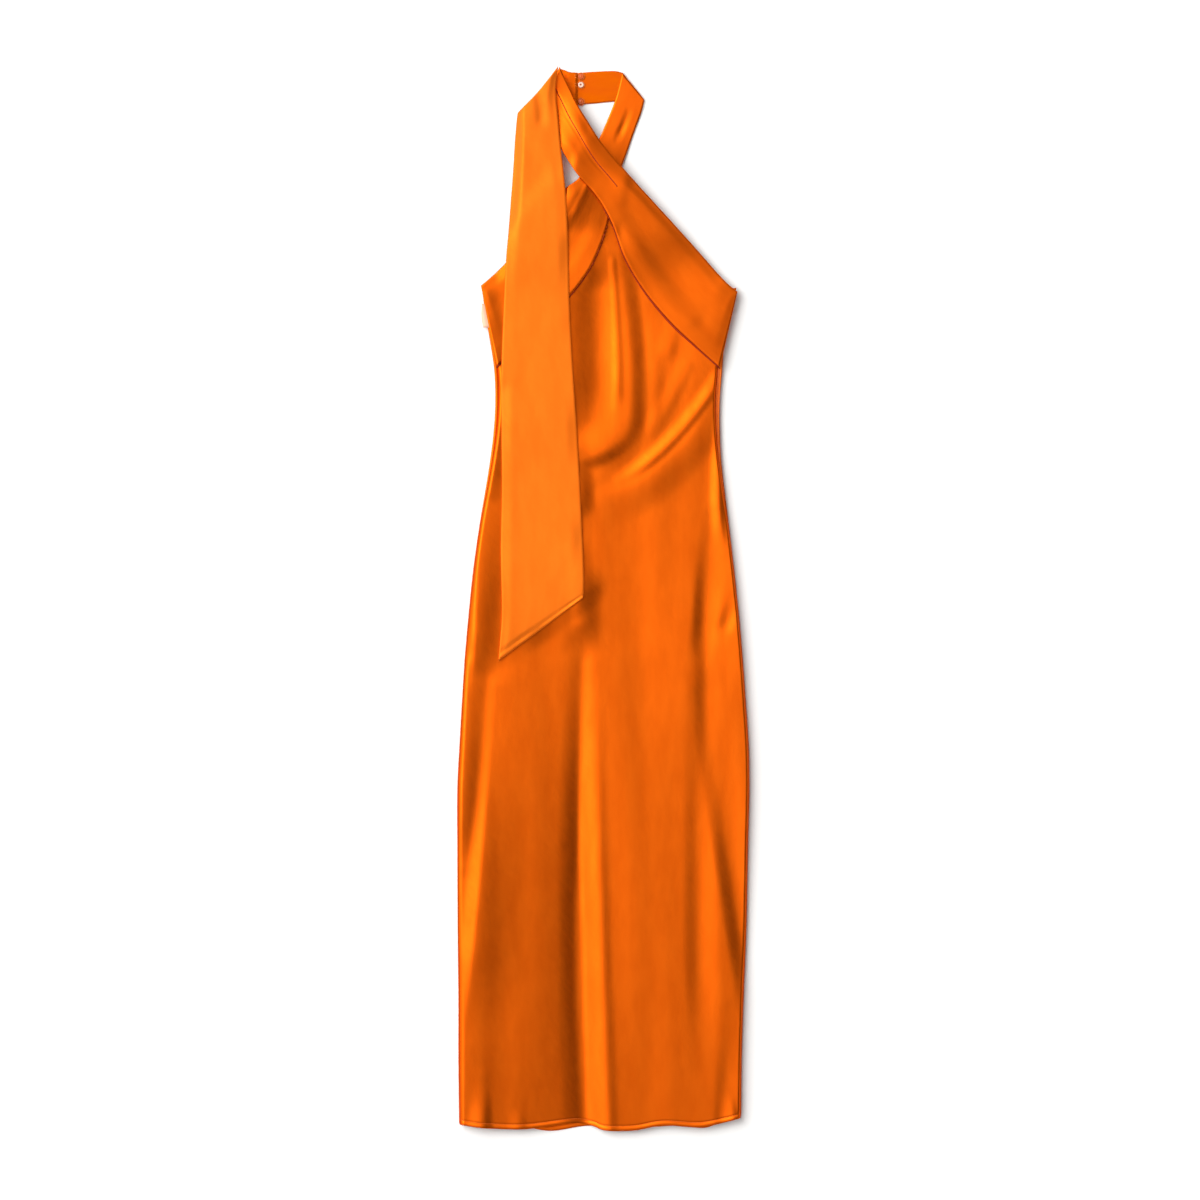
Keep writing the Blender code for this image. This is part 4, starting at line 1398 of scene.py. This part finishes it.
class DRESS_OT_side_trim(bpy.types.Operator):
    """Lays the concealed zip in the right side seam and the pale hanger ribbon in the left one"""

    bl_idname = "dress.side_trim"
    bl_label = "Zip and hanger ribbon"

    def execute(self, context):
        need_nodes("side_zip", "hanger_loop")
        colours = context.scene.dress_colours
        orange = tuple(colours.zip)
        # Polyester zip tape, woven in a twill: dull, with a fine grain
        twill = Plain("polyester_twill_tape_woven", orange, roughness=0.65, step=0.8, depth=0.08)
        # Nylon coil, drawn and heat set: small glints on a smooth orange wire
        nylon = Plain("nylon_coil_drawn", orange, roughness=0.3, step=1.5, depth=0.01, coat=0.2)
        # Narrow polyester ribbon, woven single face: pale, with a soft gloss
        pale = Plain(
            "satin_ribbon_woven", tuple(colours.ribbon), roughness=0.42, step=0.9, depth=0.05, metallic=0.1
        )
        zip_piece = self.lay_strip("zip_tape", "side_zip", SIDE_ZIP, 6, plain_material(twill))
        paths = self.coil_paths()
        teeth = tubes("zip_coil", paths, [COIL_RADIUS] * len(paths), 6, plain_material(nylon))
        ribbon = self.lay_strip("hanger_ribbon", "hanger_loop", HANGER_LOOP, 12, plain_material(pale))
        return {"FINISHED"}

    def lay_strip(self, name, node, sections, columns, material):
        """A narrow woven strip with a slightly thicker edge."""
        plan = plan_of(sections, columns, row_length=2.5)
        under = bed.rest(plan[..., 0], plan[..., 1], reach=2.0, softness=3.0) + TAPE_LIFT
        off_selvedge = (from_long_edges(plan) - SELVEDGE_PLACE) / SELVEDGE_WIDTH
        under = under + SELVEDGE_RISE * np.exp(-(off_selvedge**2))
        return lay_cloth(name, node, plan, under, material, TAPE_WALL)

    def coil_paths(self):
        """The closed coil of the zip, one turn after another down the middle of its tape."""
        outer = np.array([(s.outer_x, s.outer_y) for s in SIDE_ZIP])
        inner = np.array([(s.inner_x, s.inner_y) for s in SIDE_ZIP])
        line = through(0.45 * outer + 0.55 * inner, COIL_TURNS)
        reach = np.linspace(-COIL_REACH, COIL_REACH, 5)
        paths = []
        for place, ahead in zip(line[:-1], np.diff(line, axis=0)):
            side = np.array([ahead[1], -ahead[0]]) / np.linalg.norm(ahead)
            height = float(bed.surface(place[0], place[1])) + COIL_STAND
            paths.append([(*(place + side * r), height + COIL_ARCH * math.cos(r)) for r in reach])
        return paths


class DRESS_OT_neck_band(bpy.types.Operator):
    """Lays the two ends of the back neck band"""

    bl_idname = "dress.neck_band"
    bl_label = "Neck band"

    def execute(self, context):
        need_nodes("neck_band", "neck_tab")
        colours = context.scene.dress_colours
        # The reverse of the satin: the weft shows, so it is flatter and more matt than the face
        reverse = satin_material(
            Satin(
                "charmeuse_satin_woven_reverse",
                colour=tuple(colours.satin_matt),
                deep=tuple(colours.satin_deep),
                metallic=0.7,
                roughness=0.5,
                anisotropy=0.2,
                turn=0.0,
                crinkle=0.4,
            )
        )
        lie = Lie(softness=4.0, roll=0.6, level=0.0, droop=1.0)
        for name, sections in (("neck_band", NECK_BAND), ("neck_tab", NECK_TAB)):
            piece = lay_slanted(name, sections, (), reverse, lie)
        return {"FINISHED"}


class DRESS_OT_neck_buttons(bpy.types.Operator):
    """Places the three neck buttons and the thread loops that close over them"""

    bl_idname = "dress.neck_buttons"
    bl_label = "Neck buttons"

    def execute(self, context):
        need_nodes("button_1", "button_2", "button_3")
        sizes = context.scene.dress_sizes
        colours = context.scene.dress_colours
        # Orange buttons turned from dyed polyester and polished: a small bright glint on a deep colour
        deep = tuple(colours.satin_deep)
        dyed = plain_material(
            Plain("polyester_button_turned", deep, roughness=0.28, step=2.0, depth=0.02, coat=0.4)
        )
        # The pale one is a pierced pearl polyester button: a soft pearly gloss under a clear surface
        pearl = plain_material(
            Plain(
                "pearl_button_turned",
                tuple(colours.button_pale),
                roughness=0.25,
                step=1.2,
                depth=0.02,
                metallic=0.1,
                coat=0.5,
            )
        )
        # Polyester thread, spun: dull, in the dress's own colour
        spun = plain_material(
            Plain("polyester_thread_spun", tuple(colours.thread), roughness=0.5, step=0.5, depth=0.05)
        )
        for button in BUTTONS:
            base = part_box(button.name)[0][2] / MM
            material = pearl if button.pierced else dyed
            piece = self.turn_button(button, base, material, sizes)
            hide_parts(button.name)
            loop = tubes(button.name + "_loop", [self.loop_path(button, base)], [LOOP_RADIUS], 8, spun)
        return {"FINISHED"}

    def turn_button(self, button, base, material, sizes):
        """A turned button: a rim, a dished face and an eye or a crown."""
        radius = sizes.button_diameter / MM / 2
        height = sizes.button_height / MM
        profile = BUTTON_RIM + (BUTTON_EYE if button.pierced else BUTTON_CROWN)
        sides = BUTTON_SIDES
        points = [
            (BUTTON_X + r * radius * math.cos(a), button.y + r * radius * math.sin(a), base + z * height)
            for r, z in profile
            for a in np.linspace(0, 2 * math.pi, sides, endpoint=False)
        ]
        faces = []
        for ring in range(0, (len(profile) - 1) * sides, sides):
            for s in range(sides):
                beside = (s + 1) % sides
                faces.append((ring + s, ring + beside, ring + sides + beside, ring + sides + s))
        last = (len(profile) - 1) * sides
        if button.pierced:
            for s in range(sides):
                beside = (s + 1) % sides
                faces.append((last + s, last + beside, beside, s))
        else:
            faces.append(list(range(sides))[::-1])
            faces.append(list(range(last, last + sides)))
        return add_piece(button.name + "_turned", np.array(points), faces, material)

    def loop_path(self, button, base):
        """A thread loop from the band's left end round the button."""
        reach = LOOP_REACH
        turn = np.linspace(math.radians(150), math.radians(-150), 22)
        around = [(BUTTON_X + reach * math.cos(a), button.y + reach * math.sin(a)) for a in turn]
        ring = [(x, y, base + LOOP_HEIGHT) for x, y in around]
        first = (BUTTON_X - LOOP_ROOT, button.y + LOOP_HALF_GAP, base + LOOP_ROOT_HEIGHT)
        last = (BUTTON_X - LOOP_ROOT, button.y - LOOP_HALF_GAP, base + LOOP_ROOT_HEIGHT)
        return [first] + ring + [last]


class DRESS_OT_bust_panels(bpy.types.Operator):
    """Lays the two bust panels with their straps, the right one over the left"""

    bl_idname = "dress.bust_panels"
    bl_label = "Bust panels"

    def execute(self, context):
        need_nodes("bust_left", "bust_right")
        satin = face_satin("charmeuse_satin_woven_bust", BUST_TURN, context.scene.dress_colours)
        roll = context.scene.dress_sizes.edge_roll / MM
        lie = Lie(softness=10.0, roll=roll, level=0.95, droop=0.12)
        under = lay_slanted(
            "bust_left", BUST_LEFT, BUST_LEFT_FOLDS, satin, lie
        )
        over = lay_slanted(
            "bust_right",
            BUST_RIGHT,
            BUST_RIGHT_FOLDS,
            satin,
            lie,
            strap_ply,
        )
        return {"FINISHED"}


class DRESS_OT_scarf(bpy.types.Operator):
    """Lays the long pointed scarf end over the left of the front"""

    bl_idname = "dress.scarf"
    bl_label = "Scarf"

    def execute(self, context):
        need_nodes("scarf")
        colours = context.scene.dress_colours
        # The same satin, folded double and pressed: its gloss is broader and less metallic than the body's.
        # Its colour is painted lighter than the body's, as painted light for the brighter light the flat
        # scarf shows
        satin = satin_material(
            Satin(
                "charmeuse_satin_woven_scarf",
                colour=tuple(colours.scarf),
                deep=tuple(colours.scarf_deep),
                metallic=0.45,
                roughness=0.5,
                anisotropy=0.3,
                turn=BIAS_TURN,
                crinkle=0.1,
            )
        )
        roll = context.scene.dress_sizes.edge_roll / MM
        piece = lay_slanted(
            "scarf",
            SCARF,
            SCARF_FOLDS,
            satin,
            Lie(softness=20.0, roll=roll, level=0.9, droop=0.6),
            scarf_extra,
            SCARF_TOP_BOW,
        )
        return {"FINISHED"}


class DRESS_OT_painted_seam_shadows(bpy.types.Operator):
    """Lays dark cords of painted shadow in the seam under each bust panel's lower edge and along the right
    strap's ply
    """

    bl_idname = "dress.seam_threads"
    bl_label = "Painted seam shadows"

    def execute(self, context):
        colours = context.scene.dress_colours
        # Painted shadow: a spun thread, dull and dark, laid where the seams and the ply's free edge lie in
        # shade, to stand in for that shade
        shadow_paint = plain_material(
            Plain("seam_shadow_paint", tuple(colours.seam), roughness=0.8, step=0.6, depth=0.05)
        )
        paths = []
        thickness = []
        seams = ((BUST_RIGHT[SEAM_FIRST_RIGHT:], SEAM_GAPE), (BUST_LEFT[SEAM_FIRST_LEFT:], 0.0))
        for sections, gape in seams:
            edge = through(np.array([(s.inner_x, s.inner_y) for s in sections]), 150)
            share = np.linspace(0, 1, len(edge))
            radius = SEAM_SHADOW_CORD / 2 + gape * np.exp(-(((share - GAPE_PLACE) / GAPE_SPREAD) ** 2))
            # The painted shadow lies just off the panel's edge, a third of it sunk into the front
            height = bed.surface(edge[:, 0], edge[:, 1] - 3 * radius)
            paths.append(np.column_stack([edge[:, 0], edge[:, 1] - radius, height + 0.4 * radius]))
            thickness.append(radius)
        line = self.ply_line()
        paths.append(np.column_stack([line, bed.surface(line[:, 0], line[:, 1]) - PLY_SHADOW_DEPTH]))
        thickness.append(np.full(len(line), PLY_SHADOW_CORD / 2))
        threads = tubes("painted_seam_shadows", paths, thickness, 8, shadow_paint)
        return {"FINISHED"}

    def ply_line(self):
        """Where the free edge of the right strap's upper ply runs down from the neck."""
        edges = through(np.array(BUST_RIGHT), 150)
        along = np.linspace(0, 1, len(edges))
        share = ply_share(along)[:, None]
        line = edges[:, :2] * (1 - share) + edges[:, 2:] * share
        return line[(along > PLY_SHADOW_START) & (along < PLY_LENGTH_SHARE)]


# How high a stitch stands off the cloth along its length, with both its ends sunk in, and how far from the
# side seams the row of stitches starts and ends
STITCH_BOW = (-0.25, 0.05, 0.12, 0.05, -0.25)
STITCH_MARGIN = 5.0


class DRESS_OT_hem_stitches(bpy.types.Operator):
    """Sews the rolled hem of the front with its row of stitches"""

    bl_idname = "dress.hem_stitches"
    bl_label = "Hem stitches"

    def execute(self, context):
        sizes = context.scene.dress_sizes
        colours = context.scene.dress_colours
        # Polyester thread, spun: dull, in the dress's own colour
        spun = plain_material(
            Plain("hem_thread_spun", tuple(colours.thread), roughness=0.5, step=0.5, depth=0.05)
        )
        hem = SIDES[-1]
        level = hem.y + STITCH_LINE * sizes.hem_depth / MM
        half = sizes.stitch_length / MM / 2
        paths = []
        first = hem.left + STITCH_MARGIN
        for middle in np.arange(first, hem.right - STITCH_MARGIN, sizes.stitch_step / MM):
            across = middle + half * np.linspace(-1, 1, len(STITCH_BOW))
            along = level - hem_drop(FRONT_HEM, across, np.full(len(STITCH_BOW), level))
            height = bed.surface(across, along) + np.array(STITCH_BOW)
            paths.append(np.column_stack([across, along, height]))
        stitches = tubes("hem_stitches", paths, [sizes.thread / MM / 2] * len(paths), 6, spun)
        return {"FINISHED"}


class DRESS_PT_panel(bpy.types.Panel):
    """Lists the pieces of the dress in the order in which they are laid"""

    bl_label = "Halter dress"
    bl_idname = "DRESS_PT_panel"
    bl_space_type = "VIEW_3D"
    bl_region_type = "UI"
    bl_category = "Dress"

    def draw(self, context):
        for operator in OPERATORS:
            self.layout.operator(operator.bl_idname)
        for group in (context.scene.dress_sizes, context.scene.dress_colours, context.scene.dress_studio):
            box = self.layout.box()
            for name in group.__annotations__:
                box.prop(group, name)


OPERATORS = (
    DRESS_OT_stage,
    DRESS_OT_back_panel,
    DRESS_OT_side_trim,
    DRESS_OT_front_panel,
    DRESS_OT_neck_band,
    DRESS_OT_neck_buttons,
    DRESS_OT_bust_panels,
    DRESS_OT_painted_seam_shadows,
    DRESS_OT_scarf,
    DRESS_OT_hem_stitches,
)
GROUPS = (DressSizes, DressColours, StudioSettings)
CLASSES = GROUPS + OPERATORS + (DRESS_PT_panel,)


def register():
    for cls in CLASSES:
        bpy.utils.register_class(cls)
    bpy.types.Scene.dress_sizes = bpy.props.PointerProperty(type=DressSizes)
    bpy.types.Scene.dress_colours = bpy.props.PointerProperty(type=DressColours)
    bpy.types.Scene.dress_studio = bpy.props.PointerProperty(type=StudioSettings)


def unregister():
    del bpy.types.Scene.dress_studio
    del bpy.types.Scene.dress_colours
    del bpy.types.Scene.dress_sizes
    for cls in reversed(CLASSES):
        bpy.utils.unregister_class(cls)


def main():
    register()
    for operator in OPERATORS:
        group, name = operator.bl_idname.split(".")
        getattr(getattr(bpy.ops, group), name)()


if __name__ == "__main__":
    main()
